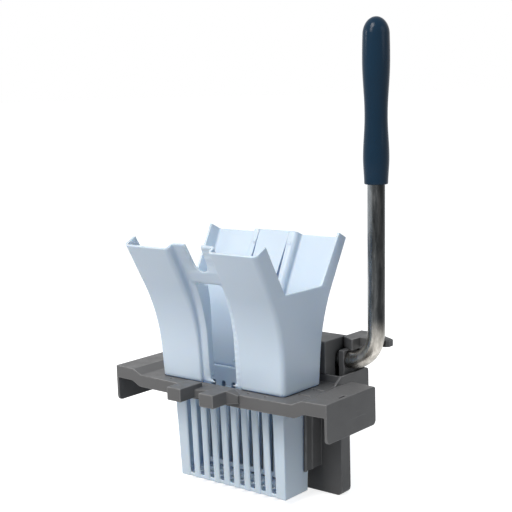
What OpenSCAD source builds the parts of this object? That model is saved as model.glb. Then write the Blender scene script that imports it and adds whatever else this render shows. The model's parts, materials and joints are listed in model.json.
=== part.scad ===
// Mop wringer that stands on the rims of a bucket.
// Millimetres. +Z is up, +Y is the rear and +X is the lever side.
// The origin is in the centre plane, level with the underside of the rims.

/* [Frame] */
// Width over the two side flanges
frame_w = 340; // [336:1:356]
// Wall of the frame moulding
frame_t = 3; // [2.6:0.1:3.4]
// Width of each rim that rests on the bucket
rim_w = 34; // [28:1:36]
// Height of the rims above the deck
rim_rise = 6; // [5:0.5:8]
// Width of the slope from rim to deck
slope_w = 14; // [8:1:14]
// Front edge of the deck in the centre plane, in front of the origin
deck_front = 57; // [54:1:62]
// How far the corners of the front edge lie behind its middle
front_bow = 6; // [2:0.5:8]
// Rear edge of the deck, behind the origin
deck_back = 48; // [46:1:52]
// Height of the front skirt
skirt_h = 16; // [13:1:20]
// Wall of the side flanges
flange_t = 3.5; // [3:0.1:5]
// Depth of the side flanges below the rims
flange_h = 44; // [30:1:56]
// Length of the cut-out in the right rim
rim_slot_l = 14; // [8:1:20]
// Width of the small cut-outs in deck and rim
slot_w = 3; // [2:0.1:4]

/* [Handle lugs] */
// Gap between the two lugs, which takes a mop handle
lug_gap = 30; // [26:1:32]
// Width of each lug
lug_w = 22; // [18:1:24]
// Reach of the lugs in front of the deck
lug_reach = 37; // [30:1:44]
// Height of each lug
lug_h = 16.5; // [14:0.5:18]
// Height of the lug top above the deck
lug_rise = 6.5; // [4:0.5:8]
// Width of the gusset beside each lug
gusset_w = 9.5; // [6:0.5:12]
// Length of the gusset beside each lug
gusset_l = 12.5; // [8:0.5:14]
// Depth of the V-shaped cradle in front of the deck
cradle_d = 12; // [8:0.5:16]

/* [Rear tray] */
// Outer width of the tray and of the back panel
tray_w = 241.4; // [239:0.1:243]
// Outer depth of the tray
tray_d = 60; // [60:1:70]
// Height of the tray walls above the underside of the rims
tray_rise = 6.9; // [5:0.1:9]
// Depth of the tray below the underside of the rims
tray_drop = 22; // [20:1:28]
// Length of the slanted shoulder in front of the tray walls
shoulder_l = 14; // [8:1:16]
// Lower edge of the back panel below the underside of the rims
panel_drop = 144.5; // [120:0.5:160]
// Depth of the back panel
panel_d = 18.7; // [12:0.1:19]
// Reach of the guide rails in front of the back panel
rail_l = 33.6; // [30:0.1:40]
// Wall of the guide rails
rail_t = 2.4; // [2:0.1:3]
// Lower end of the guide rails below the underside of the rims
rail_drop = 110; // [80:1:125]

/* [Hopper] */
// Width of the hopper at the deck
hopper_w = 197.6; // [196:0.1:200]
// Depth of the hopper at the deck
hopper_d = 74.4; // [73:0.1:80]
// Depth of the hopper between its front and rear lips
mouth_d = 179.4; // [172:0.1:186]
// Height of the lips above the deck
hopper_h = 174; // [168:1:180]
// Wall of the hopper
hopper_t = 3; // [2.5:0.1:3.4]
// Outward run of each side wall per millimetre of height
side_draft = 0.036; // [0.02:0.002:0.04]
// Outward run of the front and rear walls per millimetre at the bottom
flare_low = 0.055; // [0.03:0.005:0.08]
// Outward run of the front and rear walls per millimetre at the lips
flare_high = 0.52; // [0.48:0.01:0.56]
// Radius of the bend between the two runs
flare_r = 204; // [150:1:220]
// Width of the recess in the front wall
front_recess_w = 64; // [60:1:70]
// Width of the recess in the rear wall
rear_recess_w = 66.4; // [64:0.1:72]
// Depth of both recesses at the lips
recess_d = 11.5; // [9:0.5:12]
// Depth of both recesses at the deck
recess_foot = 5.5; // [5.3:0.1:6]
// Bottom of the side notches above the deck
notch_z = 122.6; // [112:0.1:130]
// Half width of the side notches at their bottom
notch_half = 36; // [30:1:38]
// Width of the front window
window_w = 43.4; // [36:0.1:44]
// Top of the front window above the deck
window_z = 130; // [110:1:134]
// Radius of the window's upper corners
window_r = 5; // [3:0.5:8]
// Radius of the window's lower corners
window_foot_r = 7; // [4:0.5:9]
// Width of the centre notch in the front wall
dip_w = 25.4; // [20:0.1:28]
// Bottom of the centre notch above the deck
dip_z = 145; // [142:1:150]
// Gap under the hopper, between its feet
hopper_gap = 1.2; // [0.8:0.1:1.6]

/* [Basket] */
// Outer width of the basket at the deck
basket_w = 192.4; // [190:0.1:193.2]
// Outer depth of the basket at the deck
basket_d = 70; // [69:0.1:71]
// Outer width of the basket under its shoulder
basket_neck_w = 177; // [175:0.5:180]
// Outer depth of the basket under its shoulder
basket_neck_d = 52.6; // [51:0.1:56]
// Outer width of the basket at its bottom
basket_foot_w = 171; // [168:0.5:174]
// Outer depth of the basket at its bottom
basket_foot_d = 45; // [42:0.5:48]
// Depth of the basket below the deck
basket_h = 134; // [125:1:138]
// Height of the straight stretch at the top of the basket
basket_straight = 6; // [5.5:0.1:8]
// Height of the slanted shoulder under it
shoulder_h = 16; // [14:0.5:20]
// How much lower the shoulder of the rear wall lies
shoulder_step = 13; // [10:0.5:16]
// Wall of the basket
basket_t = 2.5; // [2.2:0.1:2.8]
// Thickness of the basket floor
floor_t = 5; // [4:0.5:6]
// Pitch of the drain slots in basket and press plate
slot_pitch = 16.8; // [16:0.1:17.2]
// Width of the drain slots
drain_w = 6.5; // [5:0.1:8]
// Depth of the grooves in which the front slots lie
groove_d = 1.2; // [0.6:0.1:1.4]

/* [Press jaw] */
// Height of the jaw's hinge pin above the underside of the rims
hinge_z = 160; // [156:0.5:161]
// Distance of the hinge pin behind the origin
hinge_y = 74.5; // [74.4:0.1:74.8]
// Radius of the hinge pin
hinge_r = 2.5; // [2:0.1:2.7]
// Width of the tongue at its top
tongue_top_w = 48.8; // [47:0.1:49.2]
// Width of the tongue where the side slots are full width
tongue_w = 44; // [40:0.5:45]
// Width of the opening behind the tongue
rear_gap_w = 54.2; // [52:0.1:56]
// Height at which the side slots start
slit_top = 168.6; // [164:0.1:170]
// Height at which the side slots are full width
slit_full = 115; // [100:1:130]
// Thickness of the press plate
plate_t = 4.5; // [3.5:0.1:5]
// Thickness of the press plate's upper part, which carries the tongue
plate_head_t = 6.5; // [5:0.1:7]
// Top of the press plate above the deck
plate_rise = 4.5; // [2:0.5:6]
// Top of the press plate's slots below the deck
plate_slot_drop = 14.5; // [12:0.5:18]
// Gap between the press plate and the basket behind it
plate_gap = 0.8; // [0.5:0.1:1.2]
// Gap between the press plate and the basket at each side
plate_side_gap = 2; // [1.5:0.1:3]
// Half width of the ram
ram_half = 15; // [12:0.5:17]
// Bottom of the ram above the underside of the rims
ram_z = 24; // [22:0.5:26]
// Height of the ram
ram_h = 20; // [16:0.5:22]
// Thickness of the wear pad
pad_t = 3; // [2:0.1:4]
// Turn of the jaw per degree of the lever
jaw_ratio = 0.07; // [0.06:0.001:0.075]

/* [Lever] */
// Height of the shaft axis above the underside of the rims
shaft_z = 21; // [20.5:0.1:21.4]
// Distance of the shaft axis behind the origin
shaft_y = 80; // [79:0.1:80.5]
// Outer diameter of the lever tube
tube_d = 21.3; // [20:0.1:21.6]
// Wall of the lever tube
tube_t = 2.6; // [2:0.1:3.2]
// Distance of the lever's upright leg from the centre plane
lever_x = 151; // [150:0.5:152]
// Bend radius of the lever tube at its centre line
bend_r = 38; // [37:0.5:38]
// Lean of the lever against its stop, in degrees
lever_lean = 1.2; // [0:0.1:2]
// Length of the lever from the shaft axis to the top of the grip
lever_l = 416; // [360:1:440]
// Length of the grip
grip_l = 197; // [160:1:210]
// Turn of the lever from its stop to the end of the press, in degrees
lever_turn = 75; // [60:1:75]
// Radius of the cam hub
hub_r = 15; // [14.5:0.1:15.2]
// Thickness of the cam lobe
cam_t = 16; // [12:0.5:20]
// Gap between cam and wear pad
cam_gap = 0.2; // [0.15:0.05:0.4]

/* [Bearings and stop] */
// Outer face of the bearing walls, from the centre plane
bearing_x = 112; // [111:0.5:112]
// Thickness of the bearing walls
bearing_t = 8; // [7:0.5:8]
// Radius of the bushes
bush_r = 12.2; // [11.9:0.1:12.4]
// Top of the bearing brackets above the underside of the rims
bracket_top = 34.5; // [34.4:0.1:36]
// Top of the lever stop above the underside of the rims
stop_top = 48; // [46:0.5:52]
// Tip of the stop bar, from the centre plane
stop_tip = 161; // [154:0.5:164]
// Radius of the bolt and screw shanks
bolt_r = 2.5; // [2:0.1:2.8]
// Radius of the bolt and screw heads
bolt_head_r = 4.5; // [4:0.1:5]
// Height of the bolt and screw heads
bolt_head_h = 3; // [2:0.1:4]

/* [Mechanism cover] */
// Outer width of the cover
cover_w = 196; // [190:0.5:196]
// Rear face of the cover, behind the origin
cover_back = 94; // [93.5:0.1:95]
// Wall of the cover
cover_t = 3; // [2.4:0.1:3]
// Top of the cover above the underside of the rims
cover_top = 48; // [46:0.5:50]
// Top of the raised hood over the cam
hood_top = 55.5; // [55:0.1:60]
// Width of the raised hood
hood_w = 60; // [54:1:70]

/* [Return spring] */
// Mean radius of the spring's turns
spring_r = 3.4; // [3:0.1:3.8]
// Wire radius of the spring
wire_r = 0.6; // [0.5:0.05:0.7]
// Number of turns
spring_turns = 12; // [8:1:14]
// Reach of the spring arm behind the shaft axis
arm_reach = 18; // [17.5:0.1:18.5]
// Radius of the spring anchor pin
anchor_r = 2; // [1.6:0.1:2.2]

/* [Hidden] */
$fn = 64;

// Working clearance of turning fits and of pieces that only sit beside each other
run_gap = 0.05;
press_gap = 0.02;
side_gap = 0.4;

// Frame levels and edges
frame_half = frame_w / 2;
rim_top = frame_t;
rim_in = frame_half - rim_w;
deck_top = rim_top - rim_rise;
deck_bottom = deck_top - frame_t;
deck_half = rim_in - slope_w;
slope_angle = atan(rim_rise / slope_w);
rim_shift = tan(slope_angle / 2);
flange_r = 6;
rim_corner_r = 4;
tray_half = tray_w / 2;
tray_back = deck_back + tray_d;
tray_floor = -tray_drop + frame_t;
panel_front = deck_back - 1.5;

function front_line(x) = -deck_front + front_bow * pow(x / frame_half, 2);

// Small cut-outs of the deck: distance from the centre plane and length
deck_slot_y = -44;
deck_slots = [[21, 14], [50.5, 5], [76.5, 5]];
side_slot_x = 102;
side_slot_l = 17;
side_slots_y = [-14.5, 13.8];

// Hopper profile
foot_z = deck_top + hopper_gap;
lip_z = deck_top + hopper_h;
low_angle = atan(flare_low);
high_angle = atan(flare_high);
recess_foot_y = hopper_d / 2 - recess_foot;
recess_lip_y = mouth_d / 2 - recess_d * cos(high_angle);
recess_lip_z = lip_z + recess_d * sin(high_angle);
cross_bar_h = 15;
jamb_t = 2.5;
jamb_foot = 8;
jamb_knee = 100;
slot_rib_h = 5;
slot_rib_t = 2.5;
slot_rib_in = 0.4;
foot_l = 6;
feet_y = [-20, 14];
ear_w = 6;
ear_r = 6.5;
ear_x = tongue_top_w / 2 + 1.2;
far = 400;

// Points of a flared wall seen from the side, from the foot to the lip.
// foot and lip are [distance from the origin, height], inset is measured square to the wall.
function bend_z(foot, lip) =
    (lip[0] - flare_high * lip[1] - foot[0] + flare_low * foot[1]) / (flare_low - flare_high);
function bend_tangent() = flare_r * tan((high_angle - low_angle) / 2);
function bend_centre(foot, lip) =
    let (z = bend_z(foot, lip), y = foot[0] + flare_low * (z - foot[1]), run = bend_tangent())
    [y - run * sin(low_angle) + flare_r * cos(low_angle),
     z - run * cos(low_angle) - flare_r * sin(low_angle)];
function flare(foot, lip, inset = 0, extend = 0) =
    let (c = bend_centre(foot, lip), steps = 8, span = high_angle - low_angle)
    concat(
        [[foot[0] - inset / cos(low_angle), foot[1]]],
        [for (i = [0:steps]) let (a = low_angle + span * i / steps)
            [c[0] - (flare_r + inset) * cos(a), c[1] + (flare_r + inset) * sin(a)]],
        [[lip[0] - inset * cos(high_angle) + extend * sin(high_angle),
          lip[1] + inset * sin(high_angle) + extend * cos(high_angle)]]);
function turned(points) = [for (i = [len(points) - 1:-1:0]) points[i]];
function to_front(points) = [for (p = points) [-p[0], p[1]]];

wall_foot = [hopper_d / 2, foot_z];
wall_lip = [mouth_d / 2, lip_z];
recess_foot_point = [recess_foot_y, foot_z];
recess_lip_point = [recess_lip_y, recess_lip_z];

// Half width of the hopper at a height
function hopper_half(z) = hopper_w / 2 + side_draft * (z - deck_top);

// Basket
basket_bottom = deck_top - basket_h;
basket_shoulder = deck_top - basket_straight;
basket_knee = basket_shoulder - shoulder_h;
back_shoulder = basket_shoulder - shoulder_step;
back_knee = basket_knee - shoulder_step;
function basket_half(z) = lookup(z, [[basket_bottom, basket_foot_w / 2], [basket_knee, basket_neck_w / 2],
    [basket_shoulder, basket_w / 2]]);
function basket_wall(z) = lookup(z, [[basket_bottom, basket_foot_d / 2], [basket_knee, basket_neck_d / 2],
    [basket_shoulder, basket_d / 2]]);
function basket_back(z) = lookup(z, [[basket_bottom, basket_foot_d / 2], [back_knee, basket_neck_d / 2],
    [back_shoulder, basket_d / 2]]);
slot_top = basket_knee + 6;
slot_foot = basket_bottom + floor_t;
slots_each_side = floor((basket_half(basket_bottom) - 8) / slot_pitch);
collar_h = 12;
collar_outer = hopper_w / 2 - hopper_t - 0.2;
snap_half = 10;
hang_w = 208;
hang_front = 48;
hang_back = 42;

// Press jaw
plate_top = deck_top + plate_rise;
plate_foot = slot_foot + 4;
plate_slot_top = deck_top - plate_slot_drop;
ram_back = shaft_y - hub_r - cam_gap;
peg_r = 3;
peg_l = 8;
barrel_r = 5.5;

// Press cam: its face is the line that keeps the jaw at jaw_ratio of the lever's turn.
hinge_drop = norm([hinge_y - shaft_y, hinge_z - shaft_z]);
pitch_share = jaw_ratio / (1 + jaw_ratio);
pitch_y = shaft_y + (hinge_y - shaft_y) * pitch_share;
pitch_z = shaft_z + (hinge_z - shaft_z) * pitch_share;
function cam_reach(jaw) =
    (hinge_y - ram_back) + (pitch_y - hinge_y) * cos(jaw) - (pitch_z - hinge_z) * sin(jaw) - cam_gap;
function cam_point(turn) =
    let (jaw = turn * jaw_ratio, reach = cam_reach(jaw),
         y = pitch_y - reach * cos(jaw) - shaft_y, z = pitch_z + reach * sin(jaw) - shaft_z)
    [y * cos(turn) + z * sin(turn), z * cos(turn) - y * sin(turn)];
cam_steps = 16;
cam_over = 8;
arm_t = 6;
arm_r = 5;
arm_drop = 2;

// Lever and shaft
tube_r = tube_d / 2;
bore_r = tube_r + run_gap;
shaft_left = -(bearing_x + 8);
riser_top = lever_l - 8;
grip_foot = lever_l - grip_l;
cap_t = 3;
collar_r = tube_r + 2.75;
grip_foot_r = 14.4;
grip_bulge_r = 15.8;
grip_waist_r = 13.8;
grip_belly_r = 16.6;
grip_dome = 21;
flange_w = 1.5;
bush_flange_r = 13;
bush_in = bearing_x - bearing_t - flange_w;
end_play = 0.2;
collar_l = 3.8;
collar_mid = -(bush_in - end_play - collar_l / 2);
washer_t = 1.5;
collar_pin_r = 1.25;
cam_pin_r = 3;
cam_pin_x = 11;

// Brackets and stop
bracket_front = shaft_y - 13;
pillar_y0 = shaft_y + 14.5;
pillar_y1 = tray_back - frame_t - 0.5;
pillar_x0 = bearing_x - 13.5;
pillar_x1 = bearing_x + 5;
bolt_y = (pillar_y0 + pillar_y1) / 2;
bolt_edge = 4;
bolt_x0 = pillar_x0 + bolt_edge;
bolt_x1 = pillar_x1 - bolt_edge;
foot_h = 11;
screw_y = shaft_y - 6;
screw_x = bearing_x - bearing_t / 2;
screw_l = 14;
bolt_bite = 10;
stop_face = shaft_y + tube_r + (stop_top - shaft_z) * tan(lever_lean) + 0.3;
stop_boss_x = 120;
stop_left = pillar_x0 - 0.2;
stop_arm_back = 126.5;
stop_tip_d = 14;

// Cover
cover_half = cover_w / 2;
cover_front = deck_back - 1;
cover_foot = tray_floor + 0.3;
lip_gap = 0.3;
ram_window_half = ram_half + 4;
shaft_window_r = tube_r + 0.85;
boss_r = 4.5;
boss_z = -6;
cover_screw_x = [40, 80];
tray_wall_y = tray_back - frame_t;

// Spring
spring_y = shaft_y + arm_reach;
anchor_z = tray_floor + 5;
arm_z = shaft_z - arm_drop;
arm_hole_r = 1.6;
hook_gap = 0.3;
lug_in = 6;
lug_out = 10;

// Colours
c_frame = [0.40, 0.40, 0.41];
c_blue = [0.70, 0.78, 0.86];
c_steel = [0.72, 0.72, 0.70];
c_navy = [0.12, 0.24, 0.36];
c_white = [0.90, 0.90, 0.88];

// Extrudes an outline of [y, z] points along X
module along_x(x0, x1) {
    translate([x0, 0, 0]) rotate([90, 0, 90]) linear_extrude(height = x1 - x0) children();
}
// Extrudes an outline of [x, z] points along Y
module along_y(y0, y1) {
    translate([0, y1, 0]) rotate([90, 0, 0]) linear_extrude(height = y1 - y0) children();
}
// Extrudes an outline of [x, y] points along Z
module along_z(z0, z1) {
    translate([0, 0, z0]) linear_extrude(height = z1 - z0) children();
}
module both_sides() {
    children();
    mirror([1, 0, 0]) children();
}
module block(x0, x1, y0, y1, z0, z1) {
    translate([x0, y0, z0]) cube([x1 - x0, y1 - y0, z1 - z0]);
}
// Round bar between two places on an axis through [y, z]
module bar_x(x0, x1, y, z, r) {
    translate([x0, y, z]) rotate([0, 90, 0]) cylinder(h = x1 - x0, r = r);
}
module bar_y(y0, y1, x, z, r) {
    translate([x, y0, z]) rotate([-90, 0, 0]) cylinder(h = y1 - y0, r = r);
}
module bar_z(z0, z1, x, y, r) {
    translate([x, y, z0]) cylinder(h = z1 - z0, r = r);
}

// Frame: deck, rims, slopes and skirt share one stepped outline
module stepped(depth) {
    shift = depth * rim_shift;
    polygon([[-frame_half, rim_top], [-rim_in, rim_top], [-deck_half, deck_top],
        [deck_half, deck_top], [rim_in, rim_top], [frame_half, rim_top],
        [frame_half, rim_top - depth], [rim_in + shift, rim_top - depth],
        [deck_half + shift, deck_top - depth], [-deck_half - shift, deck_top - depth],
        [-rim_in - shift, rim_top - depth], [-frame_half, rim_top - depth]]);
}
module deck_plan(inset, back) {
    steps = 16;
    polygon(concat(
        [for (i = [-steps:steps]) let (x = frame_half * i / steps) [x, front_line(x) + inset]],
        [[frame_half, back], [-frame_half, back]]));
}
module top_plate() {
    intersection() {
        along_y(-far, far) stepped(frame_t);
        along_z(-far, far) deck_plan(0, deck_back);
    }
    intersection() {
        along_y(-far, far) stepped(skirt_h);
        difference() {
            along_z(-far, far) deck_plan(0, 0);
            along_z(-far, far) deck_plan(frame_t, 1);
        }
    }
}
module side_flange() {
    front = front_line(frame_half);
    back = deck_back + 1;
    along_x(frame_half - flange_t, frame_half) polygon(concat(
        [[front, rim_top], [back, rim_top]],
        [for (a = [0:-15:-90]) [back - flange_r + flange_r * cos(a), -flange_h + flange_r + flange_r * sin(a)]],
        [for (a = [-90:-15:-180]) [front + flange_r + flange_r * cos(a), -flange_h + flange_r + flange_r * sin(a)]]));
}
module lug() {
    inner = lug_gap / 2;
    outer = inner + lug_w;
    front = -deck_front - lug_reach;
    side_end = -deck_front - gusset_l;
    root = -deck_front + frame_t;
    top = deck_top + lug_rise;
    bottom = top - lug_h;
    difference() {
        block(inner, outer, front, root, bottom, top);
        block(inner + frame_t, outer - frame_t, front + frame_t, root - frame_t - 2,
            bottom - 1, top - frame_t);
    }
    intersection() {
        along_z(bottom, top) polygon([[outer - 0.5, side_end], [outer, side_end],
            [outer + gusset_w, side_end + gusset_w], [outer + gusset_w, root], [outer - 0.5, root]]);
        along_y(-far, 0) polygon([[outer - 1, bottom - 1], [outer - 1, top], [outer, top],
            [outer + gusset_w, deck_top], [outer + gusset_w + 1, deck_top],
            [outer + gusset_w + 1, bottom - 1]]);
    }
}
module cradle() {
    half = lug_gap / 2 + 1;
    bottom = deck_top + lug_rise - lug_h;
    along_z(bottom, deck_top) polygon([[-half, -deck_front - cradle_d], [0, -deck_front - frame_t],
        [half, -deck_front - cradle_d], [half, -deck_front + frame_t], [-half, -deck_front + frame_t]]);
}
module tray() {
    inner = tray_half - frame_t;
    front = deck_back - frame_t;
    difference() {
        block(-tray_half, tray_half, panel_front, tray_back, -tray_drop, tray_rise);
        block(-inner, inner, deck_back + frame_t, tray_wall_y, tray_floor, tray_rise + 1);
        block(-tray_half - 1, tray_half + 1, panel_front - 1, deck_back, deck_bottom, tray_rise + 1);
        both_sides() tray_corner();
    }
    both_sides() along_x(inner, tray_half) polygon([[deck_back - shoulder_l, deck_bottom],
        [deck_back - shoulder_l, deck_top], [deck_back, tray_rise], [deck_back + 1, tray_rise],
        [deck_back + 1, deck_bottom]]);
    block(-tray_half, tray_half, front, deck_back, deck_bottom, deck_top);
}
// Rounds a rear top corner at [y, z], over a width from x0 to x1
module rear_corner(y, z, x0, x1) {
    r = rim_corner_r;
    along_x(x0, x1) polygon(concat(
        [[y + 1, z + 1], [y - r, z + 1]],
        [for (a = [90:-15:0]) [y - r + r * cos(a), z - r + r * sin(a)]],
        [[y + 1, z - r]]));
}
module tray_corner() {
    rear_corner(tray_back, tray_rise, tray_half - 10, tray_half + 1);
}
module rim_corner() {
    rear_corner(deck_back + 1, rim_top, frame_half - 12, frame_half + 1);
}
module back_panel() {
    r = 8;
    difference() {
        along_y(panel_front, panel_front + panel_d) panel_outline(0, r);
        along_y(panel_front + frame_t, panel_front + panel_d + 1) panel_outline(frame_t, r - frame_t);
    }
    for (x = [-60, 0, 60]) {
        block(x - frame_t / 2, x + frame_t / 2, panel_front + 1, panel_front + panel_d,
            -panel_drop + 1, -tray_drop + 1);
    }
}
module panel_outline(inset, r) {
    half = tray_half - inset;
    foot = -panel_drop + inset;
    polygon(concat([[-half, -tray_drop + 0.5], [half, -tray_drop + 0.5]],
        [for (a = [0:-15:-90]) [half - r + r * cos(a), foot + r + r * sin(a)]],
        [for (a = [-90:-15:-180]) [-half + r + r * cos(a), foot + r + r * sin(a)]]));
}
// Guide rail beside the rear half of the basket, raked like the basket's side
module guide_rail() {
    front = panel_front - rail_l;
    top = basket_knee - 1;
    ridge = 1.5;
    function face(z, off) = basket_half(z) + side_gap + off;
    along_y(front, panel_front + 1) polygon([[face(top, 0), top], [face(top, rail_t), top],
        [face(-rail_drop, rail_t), -rail_drop], [face(-rail_drop, 0), -rail_drop]]);
    for (y = [front, front + 13]) {
        along_y(y, y + 3) polygon([[face(top, 1), top], [face(top, rail_t + ridge), top],
            [face(-rail_drop, rail_t + ridge), -rail_drop], [face(-rail_drop, 1), -rail_drop]]);
    }
}
module spring_lugs() {
    both_sides() difference() {
        block(lug_in, lug_out, spring_y - 5, spring_y + 5, tray_floor - 1, anchor_z + 5);
        bar_x(lug_in - 1, lug_out + 1, spring_y, anchor_z, anchor_r + press_gap);
    }
}
module deck_cuts() {
    half_w = basket_w / 2 + side_gap;
    half_d = basket_d / 2 + side_gap - 0.1;
    block(-half_w, half_w, -half_d, half_d, -12, 12);
    both_sides() {
        for (s = deck_slots) {
            block(s[0] - s[1] / 2, s[0] + s[1] / 2, deck_slot_y - slot_w / 2, deck_slot_y + slot_w / 2,
                deck_bottom - 1, deck_top + 1);
        }
        for (y = side_slots_y) {
            block(side_slot_x, side_slot_x + side_slot_l, y - slot_w / 2, y + slot_w / 2,
                deck_bottom - 1, deck_top + 1);
        }
    }
    rim_slot_x = frame_half - 6;
    block(rim_slot_x - slot_w / 2, rim_slot_x + slot_w / 2, -12 - rim_slot_l / 2, -12 + rim_slot_l / 2,
        -1, rim_top + 1);
}
module tray_holes() {
    r = bolt_r + side_gap / 2;
    both_sides() {
        bar_z(-tray_drop - 1, tray_floor + 1, bolt_x0, bolt_y, r);
        bar_z(-tray_drop - 1, tray_floor + 1, bolt_x1, bolt_y, r);
        bar_z(-tray_drop - 1, tray_floor + 1, screw_x, screw_y, r);
        for (x = cover_screw_x) {
            bar_y(tray_wall_y - 1, tray_back + 1, x, boss_z, r);
        }
    }
}
module frame() {
    color(c_frame) difference() {
        union() {
            top_plate();
            both_sides() side_flange();
            both_sides() lug();
            cradle();
            tray();
            back_panel();
            both_sides() guide_rail();
            spring_lugs();
        }
        deck_cuts();
        tray_holes();
        both_sides() rim_corner();
    }
}

// Hopper
module hopper_side_outline(inset, up) {
    polygon([[-hopper_half(foot_z) + inset, foot_z - up], [hopper_half(foot_z) - inset, foot_z - up],
        [hopper_half(far) - inset, far], [-hopper_half(far) + inset, far]]);
}
module hopper_outer() {
    wall = flare(wall_foot, wall_lip);
    peak = lip_z + mouth_d / 2 * flare_high;
    intersection() {
        along_x(-far, far) polygon(concat(wall, [[0, peak]], turned(to_front(wall))));
        along_y(-far, far) hopper_side_outline(0, 0);
    }
}
module hopper_cavity() {
    wall = flare(wall_foot, wall_lip, hopper_t, far);
    ends = [[wall[0][0], foot_z - 1]];
    outline = concat(ends, wall);
    intersection() {
        along_x(-far, far) polygon(concat(outline, turned(to_front(outline))));
        along_y(-far, far) hopper_side_outline(hopper_t, 2);
    }
}
// Everything outside the recessed rear panel, over a width of 2 * half; front = -1 turns it round
module beyond_recess(half, inset, z0, front) {
    wall = flare(recess_foot_point, recess_lip_point, inset, far);
    mirror([0, front < 0 ? 1 : 0, 0]) intersection() {
        along_x(-half, half) polygon(concat([[wall[0][0], foot_z - 2]], wall,
            [[far * 2, wall[len(wall) - 1][1]], [far * 2, foot_z - 2]]));
        block(-half, half, 0, far * 2, z0, far * 2);
    }
}
module hopper_shell() {
    front_half = front_recess_w / 2;
    rear_half = rear_recess_w / 2;
    ledge = deck_top + cross_bar_h;
    difference() {
        hopper_outer();
        beyond_recess(front_half, 0, -far, -1);
        beyond_recess(rear_half, 0, ledge, 1);
        difference() {
            hopper_cavity();
            beyond_recess(front_half + hopper_t, hopper_t, -far, -1);
            beyond_recess(rear_half + hopper_t, hopper_t, ledge - hopper_t, 1);
        }
    }
}
module side_notch() {
    bottom = deck_top + notch_z;
    r = 5;
    slope = flare_high + 0.06;
    reach = 120;
    lean = atan(slope);
    // centre of the rounded lower corner, which touches the bottom and the slanted side
    corner = notch_half - r * tan((90 - lean) / 2);
    along_x(-far, far) polygon(concat(
        [for (a = [-90:12:-lean]) [corner + r * cos(a), bottom + r + r * sin(a)]],
        [[notch_half + slope * reach, bottom + reach], [-notch_half - slope * reach, bottom + reach]],
        [for (a = [-180 + lean:12:-90]) [-corner + r * cos(a), bottom + r + r * sin(a)]]));
}
module front_window() {
    half = window_w / 2;
    top = deck_top + window_z;
    foot = foot_z + window_foot_r;
    r = window_foot_r;
    along_y(-far, 0) polygon(concat(
        [for (a = [0:15:90]) [half - window_r + window_r * cos(a), top - window_r + window_r * sin(a)]],
        [for (a = [90:15:180]) [-half + window_r + window_r * cos(a), top - window_r + window_r * sin(a)]],
        [for (a = [180:15:270]) [-half + r + r * cos(a), foot + r * sin(a)]],
        [[-half + r, foot_z - 5], [half - r, foot_z - 5]],
        [for (a = [270:15:360]) [half - r + r * cos(a), foot + r * sin(a)]]));
}
module centre_dip() {
    half = dip_w / 2;
    bottom = deck_top + dip_z;
    along_y(-far, 0) polygon(concat(
        [[half + 3, recess_lip_z + 20], [-half - 3, recess_lip_z + 20], [-half, recess_lip_z - 4]],
        [for (a = [180:15:360]) [(half - 1) * cos(a), bottom + half + half * sin(a)]],
        [[half, recess_lip_z - 4]]));
}
// Flanges that run inward from the upright edges of the front window
module window_jambs() {
    panel = flare(recess_foot_point, recess_lip_point, hopper_t - 1);
    half = window_w / 2;
    inner_foot = recess_foot_y - jamb_foot;
    top = deck_top + window_z;
    foot = foot_z + window_foot_r;
    intersection() {
        along_x(-half - jamb_t, half + jamb_t) polygon(concat(to_front(panel),
            [[-inner_foot - 2 * jamb_foot, lip_z], [-inner_foot - 3, jamb_knee], [-inner_foot, foot_z]]));
        difference() {
            block(-half - jamb_t, half + jamb_t, -far, 0, foot, top);
            block(-half, half, -far, 0, foot - 1, top + 1);
        }
    }
}
module hinge_ears() {
    slot = hinge_r * 0.88;
    both_sides() difference() {
        union() {
            bar_x(ear_x, ear_x + ear_w, hinge_y, hinge_z, ear_r);
            intersection() {
                block(ear_x, ear_x + ear_w, 0, hinge_y + 2, hinge_z - ear_r, hinge_z + ear_r);
                beyond_recess(ear_x + ear_w, 1, 0, 1);
            }
        }
        bar_x(ear_x - 1, ear_x + ear_w + 1, hinge_y, hinge_z, hinge_r + run_gap);
        block(ear_x - 1, ear_x + ear_w + 1, hinge_y, hinge_y + 20, hinge_z - slot, hinge_z + slot);
    }
}
// Opening behind the tongue, with the long slots at its sides
module rear_opening() {
    top_half = tongue_top_w / 2 + 0.3;
    low_half = rear_gap_w / 2;
    ledge = deck_top + cross_bar_h;
    outline = [[top_half, recess_lip_z + 30], [top_half, slit_top], [low_half, slit_full]];
    left = turned([for (p = outline) [-p[0], p[1]]]);
    along_y(0, far) polygon(concat(outline, [[low_half, ledge], [-low_half, ledge]], left));
    along_y(0, hopper_d / 2 - hopper_t) polygon(concat(outline,
        [[low_half, foot_z - 1], [-low_half, foot_z - 1]], left));
}
// Ribs that run rearward from the outer edges of the long slots
module slot_ribs() {
    low = rear_gap_w / 2;
    high = tongue_top_w / 2 + 0.3;
    ledge = deck_top + cross_bar_h;
    panel = flare(recess_foot_point, recess_lip_point, 1);
    proud = flare(recess_foot_point, recess_lip_point, -slot_rib_h);
    both_sides() intersection() {
        along_x(0, far) polygon(concat(panel, turned(proud)));
        along_y(0, far) polygon([[low - 1, ledge - 1], [low - 1, slit_full], [high - 1, slit_top - ear_r * 2],
            [high + slot_rib_t, slit_top - ear_r * 2], [low + slot_rib_t, slit_full],
            [low + slot_rib_t, ledge - 1]]);
    }
}
module snap_pockets() {
    both_sides() block(collar_outer - 1, collar_outer + 1.4, -snap_half - 0.5, snap_half + 0.5,
        deck_top + 5.6, deck_top + 10.4);
}
module hopper_feet() {
    side = hopper_half(foot_z);
    both_sides() {
        for (y = feet_y) {
            block(side - hopper_t, side - 0.8, y, y + foot_l, deck_top, foot_z + 1);
        }
    }
}
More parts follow.
